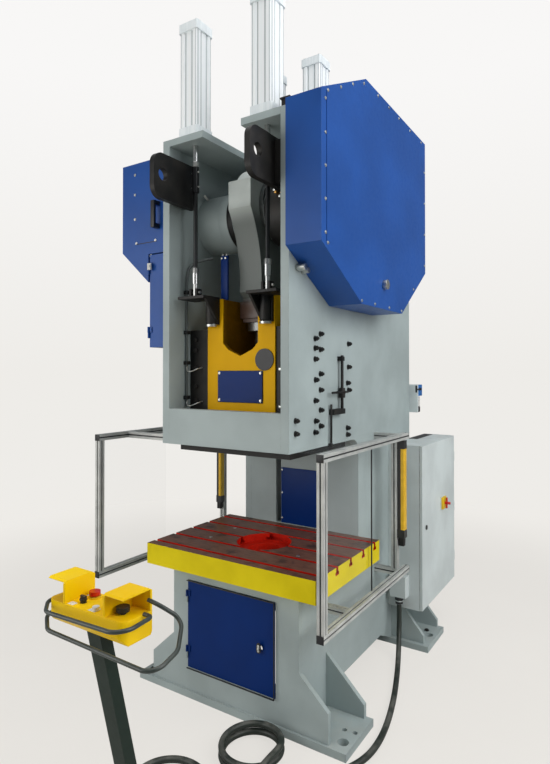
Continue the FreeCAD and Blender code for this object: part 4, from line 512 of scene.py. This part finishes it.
# %% Slide paint
HOLLOW_FRONT, HOLLOW_BACK = -0.604, -0.16
HOLLOW_HALF_WIDE = 0.21
slide_paint = Finish("slide_paint", IOR=1.5, Specular_IOR_Level=0.08)
sx, sy, _ = slide_paint.parts(slide_paint.place)
cloud = slide_paint.noise(4.0, 4.0)
smear = slide_paint.noise(20.0, 6.0, 0.65)
inside = (sy > HOLLOW_FRONT) * (sy < HOLLOW_BACK) * (abs(sx) < HOLLOW_HALF_WIDE)
grimy = inside * smear.ramp(0.1, 0.6, 0.55, 0.95)
fresh = cloud.mottle(srgb(222, 168, 2), srgb(232, 178, 4))
old = smear.ramp(0.35, 0.65).tint(srgb(92, 60, 14), srgb(140, 98, 12))
slide_paint.feed(Base_Color=grimy.tint(fresh, old), Roughness=0.4 + smear * 0.12)
slide_paint.relief(smear + slide_paint.noise(420.0, 2.0) * 0.5, 0.25, 0.12, round_off=2.0)
print("all", len(FINISHES), "finishes:", sorted(FINISHES))

# %% [markdown]
# ## Dressing the CAD nodes
# Each CAD node comes with a plain material named as its slot, and the finish of that name takes its
# place. A few nodes share a slot but look different in the photograph, so they get their own.

# %% Finishes on the nodes
OWN_FINISH = {
    "connecting_rod": "rod_paint", "rod_cap": "rod_paint", "balance_cylinders": "cylinder",
    "balance_rod_left": "pull_rod", "balance_rod_right": "pull_rod",
    "balance_rods_rear": "pull_rod", "slide": "slide_paint", "slide_panel": "panel_blue",
    "desk_rails": "rail_black", "desk_post": "post_paint",
}
dressed = 0
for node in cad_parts:
    for holder in bpy.data.objects[node].material_slots:
        slot_name = OWN_FINISH.get(node, holder.material.name.split(".")[0])
        if slot_name in FINISHES:
            holder.material = FINISHES[slot_name]
            dressed += 1
cable.data.materials.append(FINISHES["cable_black"])
print("finishes put on", dressed, "CAD nodes")

# %% [markdown]
# ## Building small parts
# Three helpers make everything that follows. `build` joins boxes, rods and cut profiles into one
# mesh; `hardware` sets a screw head, with its washer, on each of a list of spots; `curve_piece`
# above draws pipes. Corners as numbers say exactly where a piece is, and each edge gets a small
# chamfer.


# %% Forms
def box(low, high, ease=0.8):
    """A box between two corners, its edges eased by a chamfer."""
    return "box", low, high, ease


def bar(start, end, radius, sides=24, ease=0.0):
    """A round or many-sided bar from start to end."""
    return "rod", start, end, radius, sides, ease


def slab(outline, axis, low, high, ease=0.8):
    """An outline in the other two axes, as thick as from low to high along an axis."""
    return "slab", outline, axis, low, high, ease


# %% Mesh helper
SHARP_TURN = 0.7  # radians; a flatter edge isn't chamfered


def add_form(mesh, form):
    """Add one form to a mesh and ease its sharp edges."""
    kind, *given = form
    if kind == "box":
        low, high, ease = given
        made = bmesh.ops.create_cube(mesh, size=1)["verts"]
        for corner in made:
            corner.co = [low[k] + (corner.co[k] + 0.5) * (high[k] - low[k]) for k in range(3)]
    elif kind == "rod":
        start, end, radius, sides, ease = Vector(given[0]), Vector(given[1]), *given[2:]
        made = bmesh.ops.create_cone(mesh, cap_ends=True, segments=sides, radius1=radius,
                                     radius2=radius, depth=(end - start).length)["verts"]
        turn = (end - start).to_track_quat("Z", "Y").to_matrix().to_4x4()
        bmesh.ops.transform(mesh, matrix=Matrix.Translation((start + end) / 2) @ turn, verts=made)
    else:
        outline, axis, low, high, ease = given
        rings = [[mesh.verts.new((*spot[:axis], level, *spot[axis:])) for spot in outline]
                 for level in (low, high)]
        made = rings[0] + rings[1]
        mesh.faces.new(rings[0])
        mesh.faces.new(reversed(rings[1]))
        for k, corner in enumerate(rings[0]):
            after = (k + 1) % len(outline)
            mesh.faces.new((rings[0][after], corner, rings[1][k], rings[1][after]))
    if ease:
        edges = {edge for corner in made for edge in corner.link_edges}
        sharp = [edge for edge in edges
                 if len(edge.link_faces) == 2 and edge.calc_face_angle() > SHARP_TURN]
        bmesh.ops.bevel(mesh, geom=sharp, offset=ease, segments=2, profile=0.6, affect="EDGES")


def build(name, body, finish, *forms, instead_of=()):
    """Join forms into one mesh piece that rides a body and wears a finish."""
    mesh = bmesh.new()
    for form in forms:
        add_form(mesh, form)
    bmesh.ops.recalc_face_normals(mesh, faces=mesh.faces)
    for corner in mesh.verts:
        corner.co = place(*corner.co)
    data = bpy.data.meshes.new(name)
    mesh.to_mesh(data)
    mesh.free()
    for face in data.polygons:
        face.use_smooth = True
    data.set_sharp_from_angle(angle=math.radians(35))
    data.materials.append(FINISHES[finish])
    piece = shown(name, data)
    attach(piece, body)
    if instead_of:
        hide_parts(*instead_of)


print("forms: box, rod, slab")

# %% [markdown]
# ### Screw heads by Geometry Nodes
# Each head is a washer, a many-sided head and a smaller cone that rounds its top. The points carry
# an `out` vector, and the head is turned so that its own axis follows it. One modelled screw could
# be copied, but the tree makes every size from five numbers.

# %% Screw tree
screw_tree = bpy.data.node_groups.new("screw_heads", "GeometryNodeTree")
faces = screw_tree.interface
faces.new_socket("Geometry", in_out="INPUT", socket_type="NodeSocketGeometry")
faces.new_socket("Geometry", in_out="OUTPUT", socket_type="NodeSocketGeometry")
SCREW_INPUTS = {}
for label, kind in (("Radius", "NodeSocketFloat"), ("Height", "NodeSocketFloat"),
                    ("Sides", "NodeSocketInt"), ("Washer", "NodeSocketFloat"),
                    ("Finish", "NodeSocketMaterial")):
    SCREW_INPUTS[label] = faces.new_socket(label, in_out="INPUT", socket_type=kind).identifier
print("screw tree inputs:", SCREW_INPUTS)


# %% Screw tree's helpers
def grow(kind, settings=None, **inputs):
    """Add a node to the screw tree and give back its first output."""
    return add_node(screw_tree, kind, settings, **inputs).outputs[0]


def times(value, factor):
    return grow("ShaderNodeMath", {"operation": "MULTIPLY"}, in_0=value, in_1=factor)


def lifted(shape, height):
    """A shape moved up along its own axis."""
    offset = grow("ShaderNodeCombineXYZ", in_2=height)
    return grow("GeometryNodeTransform", Geometry=shape, Translation=offset)


# %% Screw tree's nodes
asked = screw_tree.nodes.new("NodeGroupInput").outputs
washer_high = times(asked["Radius"], 0.18)
washer = grow("GeometryNodeMeshCylinder", Vertices=24, Radius=asked["Washer"], Depth=washer_high)
head = grow("GeometryNodeMeshCylinder", Vertices=asked["Sides"], Radius=asked["Radius"],
            Depth=asked["Height"])
crown = grow("GeometryNodeMeshCone", Vertices=asked["Sides"],
             Radius_Top=times(asked["Radius"], 0.8), Radius_Bottom=times(asked["Radius"], 0.985),
             Depth=times(asked["Height"], 0.14))
whole = add_node(screw_tree, "GeometryNodeJoinGeometry")
for shape in (lifted(washer, times(washer_high, 0.5)), lifted(head, times(asked["Height"], 0.5)),
              lifted(crown, asked["Height"])):
    screw_tree.links.new(shape, whole.inputs[0])
out_way = grow("GeometryNodeInputNamedAttribute", {"data_type": "FLOAT_VECTOR"}, Name="out")
upright = grow("FunctionNodeAlignRotationToVector", {"axis": "Z"}, Vector=out_way)
copies = grow("GeometryNodeInstanceOnPoints", Points=asked["Geometry"], Instance=whole.outputs[0],
              Rotation=upright)
real = grow("GeometryNodeRealizeInstances", Geometry=copies)
painted = grow("GeometryNodeSetMaterial", Geometry=real, Material=asked["Finish"])
add_node(screw_tree, "NodeGroupOutput", in_0=painted)
print("screw tree has", len(screw_tree.nodes), "nodes")


# %% Screws on a list of spots
def hardware(name, body, finish, spots, radius, height, sides=16, washer=1.35, instead_of=()):
    """Screw heads on spots, each given as its place and the way it faces."""
    data = bpy.data.meshes.new(name)
    data.from_pydata([place(*spot) for spot, way in spots], [], [])
    ways = data.attributes.new("out", "FLOAT_VECTOR", "POINT")
    for store, (spot, way) in zip(ways.data, spots):
        store.vector = way
    piece = shown(name, data)
    modifier = piece.modifiers.new("screws", "NODES")
    modifier.node_group = screw_tree
    for label, value in (("Radius", radius / 1000), ("Height", height / 1000), ("Sides", sides),
                         ("Washer", radius * washer / 1000), ("Finish", FINISHES[finish])):
        modifier[SCREW_INPUTS[label]] = value
    evaluated = piece.evaluated_get(bpy.context.evaluated_depsgraph_get())
    made = bpy.data.meshes.new_from_object(evaluated)
    piece.modifiers.remove(modifier)
    piece.data = made
    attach(piece, body)
    if instead_of:
        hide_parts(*instead_of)
    print(name, len(spots), "heads,", len(made.polygons), "faces")


# %% [markdown]
# ### Where the screws are
# The big hexagon bolts hold the slide's guides in the side plates, each with a stud's end in it;
# the small bright screws hold sheet metal. The rows aren't regular on the machine, so the places
# are listed one by one.

# %% Frame bolts
SIDE_FACE = 392
BOLT_ROWS = [
    (296, 1907), (243, 1882), (243, 1835), (296, 1830), (243, 1781), (296, 1708), (246, 1679),
    (296, 1628), (243, 1577), (296, 1528), (246, 1477), (296, 1449), (240, 1422), (56, 1491),
    (56, 1431), (618, 1871), (617, 1745), (606, 1658), (617, 1619), (603, 1414), (603, 1378),
]
bolts = []
for sign in (1, -1):
    for y, z in BOLT_ROWS:
        hidden_by_valve_box = sign < 0 and z > 1850 and y < 330
        if not hidden_by_valve_box:
            bolts.append(((sign * SIDE_FACE, y, z), (sign, 0, 0)))
hardware("guide_bolts", "press", "black_steel", bolts, 11.5, 16, sides=6, washer=1.25,
         instead_of=("frame_bolts",))
studs = [((spot[0] + way[0] * 16, spot[1], spot[2]), way) for spot, way in bolts]
hardware("guide_studs", "press", "black_steel", studs, 7, 6.5, washer=1.0)

# %% Sheet-metal screws
RIGHT, FRONTAL, UP = (1, 0, 0), (0, -1, 0), (0, 0, 1)
COVER_SIDE = 575
sheet_screws = [((COVER_SIDE, 10, z), RIGHT) for z in (2924, 2773, 2627, 2480, 2332)]
sheet_screws += [((COVER_SIDE, y, z), RIGHT) for y, z in (
    (34, 2969), (163, 3038), (294, 3109), (424, 3168), (605, 3182), (761, 3180), (916, 3178),
    (1102, 3176), (1306, 3174), (1368, 3000), (1368, 2800), (1368, 2600), (1368, 2400),
    (32, 2290), (395, 2072), (560, 2072), (760, 2072), (950, 2072), (1160, 2222))]
sheet_screws += [((x, 110, z), FRONTAL) for x, z in (
    (-724, 2746), (-724, 2604), (-711, 2462), (-560, 2462), (-594, 2376), (-724, 2862))]
sheet_screws += [((x, y, z), FRONTAL) for x, y in ((-113, 746), (150, 745))
                 for z in (826, 979, 1118)]
hardware("cover_screws", "press", "zinc", sheet_screws, 5.5, 3.6, washer=1.5)
hardware("plate_screws", "ram", "zinc",
         [((x, 151, z), FRONTAL) for x in (-131, 131) for z in (1572, 1712)], 5.5, 3.5)

# %% Gib screws and table plugs
hardware("gib_screws", "press", "black_steel",
         [((-300, 166, z), FRONTAL) for z in (1895, 1835, 1740, 1640, 1560)]
         + [((322, 166, z), FRONTAL) for z in (1895, 1640)], 13, 12, sides=6, washer=1.3)
hardware("table_plugs", "press", "zinc",
         [((x, y, 791), UP) for x, y in ((281, 268), (-291, 501), (-295, 282), (288, 501))],
         8, 1.2, washer=1.2)


# %% Nuts on the air cylinders and the feet
def round_cylinders(across, deep, z):
    """Four spots facing up around the axis of each of the four air cylinders."""
    return [((sign * x + dx, y + dy, z), UP)
            for sign in (1, -1) for x, y in ((228, 71), (149, 699))
            for dx in (-across, across) for dy in (-deep, deep)]


hardware("cylinder_nuts", "press", "zinc", round_cylinders(72, 52, 2943), 7, 7, sides=6, washer=1.3)
hardware("tie_rod_nuts", "press", "zinc", round_cylinders(46, 46, 3535), 9, 8, sides=6, washer=1.3)
hardware("foot_screws", "press", "black_steel",
         [((sign * 560, y, 36), UP) for sign in (1, -1) for y in (1440, 1300)], 12, 9, sides=6)

# %% [markdown]
# ### Balance linkage
# Each pull rod ends in a polished fork on a black bracket, whose shelf, rib and round cup stand in
# for the plain CAD bracket. Left and right are mirror images, so one loop makes both.

# %% Brackets, forks, pins
shelves, forks, pins = [], [], []
for sign in (1, -1):
    x0, x1 = sorted((sign * 133, sign * 308))
    shelves.append(box((x0, 22, 2097), (x1, 157, 2112), 1.5))
    x0, x1 = sorted((sign * 133, sign * 147))
    shelves.append(slab([(41, 2098), (156, 2098), (156, 1968)], 0, x0, x1, 1.0))
    middle = sign * 172
    shelves.append(bar((middle, 138, 1974), (middle, 138, 2105), 31, 32, 3.0))
    shelves.append(box((middle - 36, 140, 1968), (middle + 36, 157, 2100), 1.0))
    eye = sign * 228
    for shift in (-26, 14):
        shelves.append(box((eye + shift, 50, 2108), (eye + shift + 12, 92, 2154), 3.0))
    forks.append(bar((eye, 71, 2128), (eye, 71, 2176), 12.5, 24, 2.0))
    forks.append(bar((eye, 71, 2236), (eye, 71, 2262), 18, 6, 1.5))
    pins.append(bar((eye - 34, 71, 2134), (eye + 34, 71, 2134), 8, 16, 1.0))
    for z in (2690, 2768):
        pins.append(bar((eye - 25, 71, z), (eye + 25, 71, z), 5.5, 6, 1.0))
    pins.append(bar((eye, 71, 2795), (eye, 71, 2822), 19, 6, 1.5))
build("pull_brackets", "ram", "black_steel", *shelves, instead_of=("rod_brackets",))
build("rod_forks", "ram", "zinc", *forks)
build("rod_pins", "ram", "zinc", *pins)
build("cup_seats", "ram", "zinc", *[
    slab([(sign * 172 + 33 * math.cos(turn), 140 + 33 * math.sin(turn))
          for turn in (math.pi + math.pi * step / 12 for step in range(13))], 2, 1957, 1969, 1.5)
    for sign in (1, -1)])
print(len(shelves) + len(forks) + len(pins), "forms in the two linkages")

# %% [markdown]
# ### On the rod and the slide
# A clamp closes the foot of the connecting rod, a blue strip with two bolts stands on the slide,
# and a black gasket shows round the slide's plate. They are thin, so only this scene has them.

# %% Clamp, strip, gasket and marks
build("rod_clamp", "rod", "rod_paint",
      box((-84, 268, 2004), (84, 502, 2098), 5.0),
      *[bar((x, y, 2097), (x, y, 2110), 14, 6, 1.5) for x in (-60, 60) for y in (296, 474)])
build("height_strip", "ram", "panel_blue", box((-141, 176, 2100), (-97, 188, 2335), 1.5))
build("strip_bolts", "ram", "zinc",
      *[bar((x, 176, 2322), (x, 168, 2322), 6, 6, 1.0) for x in (-131, -107)],
      *[bar((x, 182, 2334), (x, 182, 2346), 6, 6, 1.0) for x in (-131, -107)])
build("plate_gasket", "ram", "black_plastic", box((-144, 154, 1559), (144, 157.2, 1725), 1.0))
build("gib_marks", "press", "zinc",
      *[box((232, 163, z - 6), (258, 166, z + 6), 0.8) for z in (1732, 1545)])
print("clamp, strip and gasket built")

# %% [markdown]
# ### Doors, latches and switches
# A black line round the base door is partly its seal and partly painted shade along the door's edges,
# and its lock is a bright barrel in a plate with round ends. Lock and handle ride the bodies that
# turn, so that they swing with the doors.

# %% Base door and valve door
# The door's black edge strips: a seal, and painted shade where the door's edges lie in shadow.
build("door_seal_and_shade", "press", "black_plastic",
      box((-288, 70, 613.5), (260.5, 78, 616.5), 0.8), box((260.5, 70, 154), (263, 78, 616.5), 0.8),
      box((-288, 70, 154), (260.5, 78, 157.5), 0.8))


def oval(x, z, half_wide, half_high):
    """Outline of a slot-shaped plate with round ends."""
    outline = []
    for turn in (2 * math.pi * step / 32 for step in range(32)):
        shift = (half_high - half_wide) * (1 if math.sin(turn) > 0 else -1)
        outline.append((x + half_wide * math.cos(turn), z + half_wide * math.sin(turn) + shift))
    return outline


build("lock_plate", "base_door", "black_plastic", slab(oval(177, 382, 12, 25), 1, 67, 71, 1.5))
build("lock_barrel", "base_lock", "zinc", slab(oval(177, 382, 6, 18), 1, 64.5, 67, 1.0),
      bar((177, 62, 379), (177, 82, 379), 6, 32, 1.0), instead_of=("base_lock",))
build("valve_latch", "valve_door", "white_plastic", box((-594, 80, 2292), (-568, 91, 2330), 2.5),
      box((-588, 76, 2304), (-574, 81, 2318), 1.5))
print("seal, lock and latch built")

# %% Main switch and cabinet
build("switch_plate", "cabinet_door", "switch_yellow", box((609, 1586, 799), (628, 1664, 877), 3.0))
build("switch_handle", "main_switch", "red_plastic", box((636, 1617, 802), (645, 1633, 874), 3.0),
      bar((600, 1625, 838), (664, 1625, 838), 9, 32, 2.0),
      box((645, 1612, 832), (658, 1638, 844), 2.5), instead_of=("main_switch",))
build("roof_plate", "press", "black_plastic", box((402, 1560, 1261), (462, 1890, 1264.5), 1.0))
build("cabinet_gasket", "press", "black_plastic", box((587, 1206, 251), (592.6, 1209.2, 1261), 0.5))
build("box_gland_nuts", "press", "black_plastic",
      bar((473, 1175, 327), (473, 1175, 306), 27, 6, 2.0),
      bar((473, 1175, 300), (473, 1175, 284), 23, 24, 3.0),
      bar((312, -783, 62), (312, -765, 62), 27, 6, 2.0))
print("switch and cabinet trim built")

# %% [markdown]
# ### Guards
# The guards are aluminium profiles with a slot along each face. The CAD has the slots; a dark strip
# of painted shade at the foot of each makes it read as deep. Black caps close the ends, and a rubber
# edge finishes the clear sheet.

# %% Slots of the profiles
SLOT, DEEP, WIDE = 9.4, 8.9, 36
# The strips are painted shade, dark where the slots are deep.
SHADE_STRIP = 4.5  # thickness of a dark strip
FOOT, HEAD = 528, 1319  # heights of the lower and the upper profiles
SILL = FOOT + WIDE
lines = []


def slot_shade_strips(corner, axis, length, faces_shown):
    """Strips of painted shade at the foot of the slots of one profile, on the faces that show."""
    others = [k for k in range(3) if k != axis]
    for face_axis, high_side in faces_shown:
        (across,) = [k for k in others if k != face_axis]
        low, high = list(corner), [value + WIDE for value in corner]
        high[axis] = corner[axis] + length
        low[axis] += 0.5
        high[axis] -= 0.5
        low[across] = corner[across] + (WIDE - SLOT) / 2
        high[across] = low[across] + SLOT
        if high_side:
            low[face_axis] = corner[face_axis] + WIDE - DEEP
            high[face_axis] = low[face_axis] + SHADE_STRIP
        else:
            high[face_axis] = corner[face_axis] + DEEP
            low[face_axis] = high[face_axis] - SHADE_STRIP
        lines.append(box(low, high, 0.0))


# Each guard: x, length, y of its rear post, y and height of its middle arm.
for x, length, rear, arm, arm_z in ((535, 1081, 974, 300, FOOT), (-926, 1193, 1155, 211, HEAD)):
    near = SIDE_FACE if x > 0 else x + WIDE
    span_x = (571 if x > 0 else 926) - WIDE - SIDE_FACE
    post = x - WIDE if x > 0 else x
    for z in (FOOT, HEAD):
        slot_shade_strips((x, -2, z), 1, length, [(0, True), (0, False), (2, True)])
        slot_shade_strips((near, rear, z), 0, span_x, [(1, False), (2, True)])
    slot_shade_strips((x, -2, SILL), 2, HEAD - SILL, [(0, True), (1, False), (0, False)])
    slot_shade_strips((post, rear, SILL), 2, HEAD - SILL, [(1, False), (0, True)])
    slot_shade_strips((near, arm, arm_z), 0, span_x, [(1, False), (2, True)])
# One piece holds all the painted shade in the slots.
build("profile_slot_shade", "press", "black_plastic", *lines)
print(len(lines), "slots lined")

# %% Caps, pane edge and curtain feet
caps = []
for x, back in ((535, 1079), (-926, 1191)):
    for z in (FOOT, HEAD):
        caps.append(box((x, -6, z), (x + WIDE, -2, z + WIDE), 1.2))
        caps.append(box((x, back, z), (x + WIDE, back + 4, z + WIDE), 1.2))
build("profile_caps", "press", "black_plastic", *caps)
build("pane_edges", "press", "black_plastic", box((535.5, 592, SILL), (541, 600, HEAD), 0.8))
build("curtain_feet", "press", "black_steel",
      box((539, 985, 700), (572, 1018, 748), 3.0), box((-922, 1115, 700), (-890, 1148, 748), 3.0))
print(len(caps), "caps on the guards")

# %% [markdown]
# ### On the frame: grease pipes and fittings
# A grey pipe climbs beside the throat and two thin loops cross to the slide's guide. They are
# curves like the cable. The fittings by the crank are short six-sided or round bars, some of brass.

# %% Grease pipes
pipe = curve_piece("grease_pipe", [
    (-335, 124, 1536), (-335, 124, 1800), (-335, 124, 2080), (-335, 124, 2240),
    (-325, 140, 2300), (-290, 190, 2330), (-250, 240, 2345)], 7)
loops = [curve_piece(f"grease_loop_{k}", [
    (-332, 124, z + 18), (-326, 112, z - 6), (-305, 108, z - 14), (-284, 118, z - 8),
    (-268, 140, z + 4), (-262, 167, z + 10)], 3.5) for k, z in enumerate((1732, 1548))]
for line, finish in ((pipe, "grey_pipe"), (loops[0], "zinc"), (loops[1], "zinc")):
    line.data.materials.append(FINISHES[finish])
    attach(line, "press")
build("pipe_clamps", "press", "black_plastic",
      *[box((-347, 110, z - 10), (-322, 138, z + 10), 2.0) for z in (2150, 1932, 1767, 1580)])
print("pipe and", len(loops), "loops drawn")

# %% Fittings
build("boss_fittings", "press", "zinc",
      bar((172, 262, 2650), (172, 214, 2650), 9, 6, 1.0),
      bar((205, 250, 2610), (205, 212, 2610), 8, 6, 1.0),
      bar((190, 256, 2585), (190, 222, 2585), 7, 16, 1.0),
      bar((-318, 292, 2688), (-330, 262, 2716), 8, 6, 1.0),
      bar((396, 72, 2204), (440, 72, 2204), 17, 24, 2.0),
      bar((396, 118, 2196), (430, 118, 2196), 14, 24, 2.0))
build("copper_fittings", "press", "brass",
      bar((184, 256, 2632), (184, 206, 2632), 7, 16, 1.0),
      bar((214, 246, 2628), (214, 214, 2628), 6, 16, 1.0))
build("crown_bracket", "press", "black_steel", box((350, 2, 2943), (388, 44, 2984), 2.0),
      box((346, -6, 2972), (400, 22, 2980), 1.5))
print("fittings built")

# %% [markdown]
# ### Bearings, throat panel and covers
# The crank's bosses end in rings, painted with the frame on the left and black elsewhere; the wide
# black band on the right boss is painted shade, the shade under the cover. A blue plate closes the
# throat wall, and the covers have a knob, a seam, a slot and a handle. They are set on the CAD's
# surface, which keeps the solids plain.

# %% Rings and plug
CRANK_AXIS = (385, 2560)


def ring(left, right, radius):
    return bar((left, *CRANK_AXIS), (right, *CRANK_AXIS), radius, 96, 3.0)


build("bearing_ring_left", "press", "frame_paint", ring(-196, -138, 168))
# A narrow black bearing ring on the left, and on the right a wide band of painted shade.
build("bearing_ring_and_shade_band", "press", "black_steel", ring(-139, -104, 167), ring(104, 300, 168))
build("cabinet_plug", "press", "black_plastic",
      bar((376, 1187, 1165), (376, 1207, 1165), 16, 32, 2.0))
print("rings and plug built")

# %% Throat panel and cover trim
build("throat_plate", "press", "panel_blue", box((-121, 745, 796), (165, 750, 1134), 1.5),
      instead_of=("throat_panel",))
build("cover_knob", "press", "zinc", bar((COVER_SIDE, 683, 2188), (599, 683, 2188), 26.6, 40, 3.0))
build("cover_seam", "press", "panel_blue", box((574.4, 18, 2292), (576.6, 21, 2962), 0.4))
build("cover_slot", "press", "black_plastic", box((-712, 109, 2454), (-548, 110.4, 2458), 0.3))
build("cover_handle", "press", "black_plastic", box((-553, 63, 2524), (-525, 78, 2676), 4.0),
      box((-553, 70, 2524), (-525, 110, 2548), 3.0), box((-553, 70, 2652), (-525, 110, 2676), 3.0))
print("cover trim built")

# %% [markdown]
# ### Knock-out rod, lubricator and desk
# A rod with a collar stands on the side of the frame between two brackets. The lubricator is a grey
# head with a blue drive over a cloudy cup. The desk has small blank plates and a yellow collar
# under its stop button.

# %% Knock-out rod
KNOCKOUT = (412, 504)
build("knockout_rod", "press", "black_steel",
      bar((*KNOCKOUT, 1512), (*KNOCKOUT, 1806), 8, 20, 1.0),
      bar((*KNOCKOUT, 1582), (*KNOCKOUT, 1634), 17, 24, 2.0),
      bar((422, 372, 1612), (422, 552, 1612), 6, 16, 1.0),
      bar((391, 504, 1612), (430, 504, 1612), 9, 16, 1.0),
      box((391, 392, 1498), (424, 520, 1526), 2.0), box((391, 488, 1776), (420, 520, 1800), 2.0),
      bar((405, 393, 1340), (405, 393, 1552), 6, 16, 1.0),
      box((391, 384, 1334), (411, 402, 1352), 1.5))
print("knock-out rod built")

# %% Lubricator
CUP = (392, 1655)
build("lubricator_head", "press", "cabinet_grey",
      box((322, 1596, 1545), (426, 1700, 1630), 5.0),
      box((332, 1595, 1440), (452, 1609, 1632), 2.0), instead_of=("lubricator",))
build("lubricator_drive", "press", "lube_blue", box((425, 1608, 1552), (450, 1698, 1630), 4.0),
      bar((430, 1606, 1596), (430, 1600, 1596), 9, 24, 1.0))
build("lubricator_cup", "press", "lube_glass",
      bar((*CUP, 1476), (*CUP, 1547), 52, 40, 3.0))
build("lubricator_foot", "press", "black_plastic",
      bar((*CUP, 1440), (*CUP, 1478), 54, 40, 3.0),
      bar((366, 1597, 1588), (366, 1588, 1588), 13, 24, 1.5),
      bar((*CUP, 1477), (*CUP, 1545), 8, 16, 0.5))
print("lubricator built")

# %% Desk plates
DESK_TOP = 985.5
build("desk_plates", "press", "white_plastic",
      box((206, -963, DESK_TOP), (222, -947, 988), 0.8),
      box((300, -1034, DESK_TOP), (330, -1006, 987), 0.8),
      box((206, -1036, DESK_TOP), (232, -1016, 987.5), 0.8))
build("stop_collar", "press", "switch_yellow",
      bar((238, -955, DESK_TOP), (238, -955, 990), 22, 40, 1.0))
print("hardware is in place")

# %% [markdown]
# ## Floor and light
# A pale seamless floor fades into the backdrop, and large soft lamps light the machine. Only the
# camera sees the pale backdrop: as a light it would fill the machine's head, which stays dark in
# the photograph. The object gets a dim, even grey from all around instead.

# %% Backdrop
PALE = srgb(238, 236, 232)
FILL = (0.20, 0.21, 0.22, 1)
COLOURS = {"data_type": "RGBA"}
world = bpy.data.worlds.new("studio")
bpy.context.scene.world = world
world.use_nodes = True
sky = world.node_tree
towards = add_node(sky, "ShaderNodeTexCoord").outputs["Generated"]
rise = add_node(sky, "ShaderNodeSeparateXYZ", in_0=towards).outputs["Z"]
level = add_node(sky, "ShaderNodeMapRange", in_0=rise, in_2=0.45).outputs[0]
backdrop = add_node(sky, "ShaderNodeMix", COLOURS, in_0=level, in_6=PALE, in_7=srgb(248, 247, 246))
seen = add_node(sky, "ShaderNodeLightPath").outputs["Is Camera Ray"]
shade = add_node(sky, "ShaderNodeMix", COLOURS, in_0=seen, in_6=FILL, in_7=backdrop.outputs[2])
sky.links.new(shade.outputs[2], sky.nodes["Background"].inputs["Color"])
sky.nodes["Background"].inputs["Strength"].default_value = 1.0
bpy.context.scene.view_settings.view_transform = "Standard"
print("world has", len(sky.nodes), "nodes")

# %% Floor
floor_mesh = bpy.data.meshes.new("floor")
sheet = bmesh.new()
bmesh.ops.create_grid(sheet, x_segments=1, y_segments=1, size=60)
sheet.to_mesh(floor_mesh)
sheet.free()
floor = shown("floor", floor_mesh)
floor_paint = Finish("floor", Roughness=0.8, Specular_IOR_Level=0.2)
ground = floor_paint.tree
speck = floor_paint.noise(2.0, 4.0)
floor_paint.feed(Base_Color=speck.ramp(0.2, 0.8).tint(srgb(212, 209, 203), srgb(218, 215, 209)))
away = floor_paint.start.node("ShaderNodeVectorMath", {"operation": "LENGTH"}, output=1,
                              in_0=floor_paint.place)
pale = away.ramp(1.0, 7.0).tint(srgb(238, 235, 230), PALE)
glow = add_node(ground, "ShaderNodeEmission", Color=pale.socket)
camera_ray = floor_paint.start.node("ShaderNodeLightPath", output="Is Camera Ray")
fade = away.ramp(2.0, 4.5, 0.76, 1.0) * camera_ray
join = add_node(ground, "ShaderNodeMixShader", in_0=fade.socket, in_1=floor_paint.shader.outputs[0],
                in_2=glow.outputs[0])
ground.links.new(join.outputs[0], floor_paint.output.inputs["Surface"])
floor.data.materials.append(floor_paint.material)
print("floor laid")


# %% Lamps
def lamp(name, spot, aim, size, power, tone=(1, 1, 1)):
    """A soft rectangular lamp at spot, in metres, turned towards aim."""
    light = bpy.data.lights.new(name, "AREA")
    light.shape = "RECTANGLE"
    light.size, light.size_y = size
    light.energy = power
    light.color = tone
    holder = shown(name, light)
    holder.location = spot
    holder.rotation_mode = "QUATERNION"
    holder.rotation_quaternion = (Vector(aim) - Vector(spot)).to_track_quat("-Z", "Y")


lamp("key", (4.2, -0.6, 3.4), (0.3, 0.0, 1.4), (3.5, 3.0), 150)
lamp("fill", (-2.6, -4.6, 2.2), (0, 0, 1.2), (4.0, 3.0), 110, (1.0, 0.98, 0.95))
lamp("top", (0.4, -0.4, 6.0), (0, 0, 1.0), (5.0, 5.0), 150)
print("three lamps")

# %% Update of the scene
bpy.context.view_layer.update()
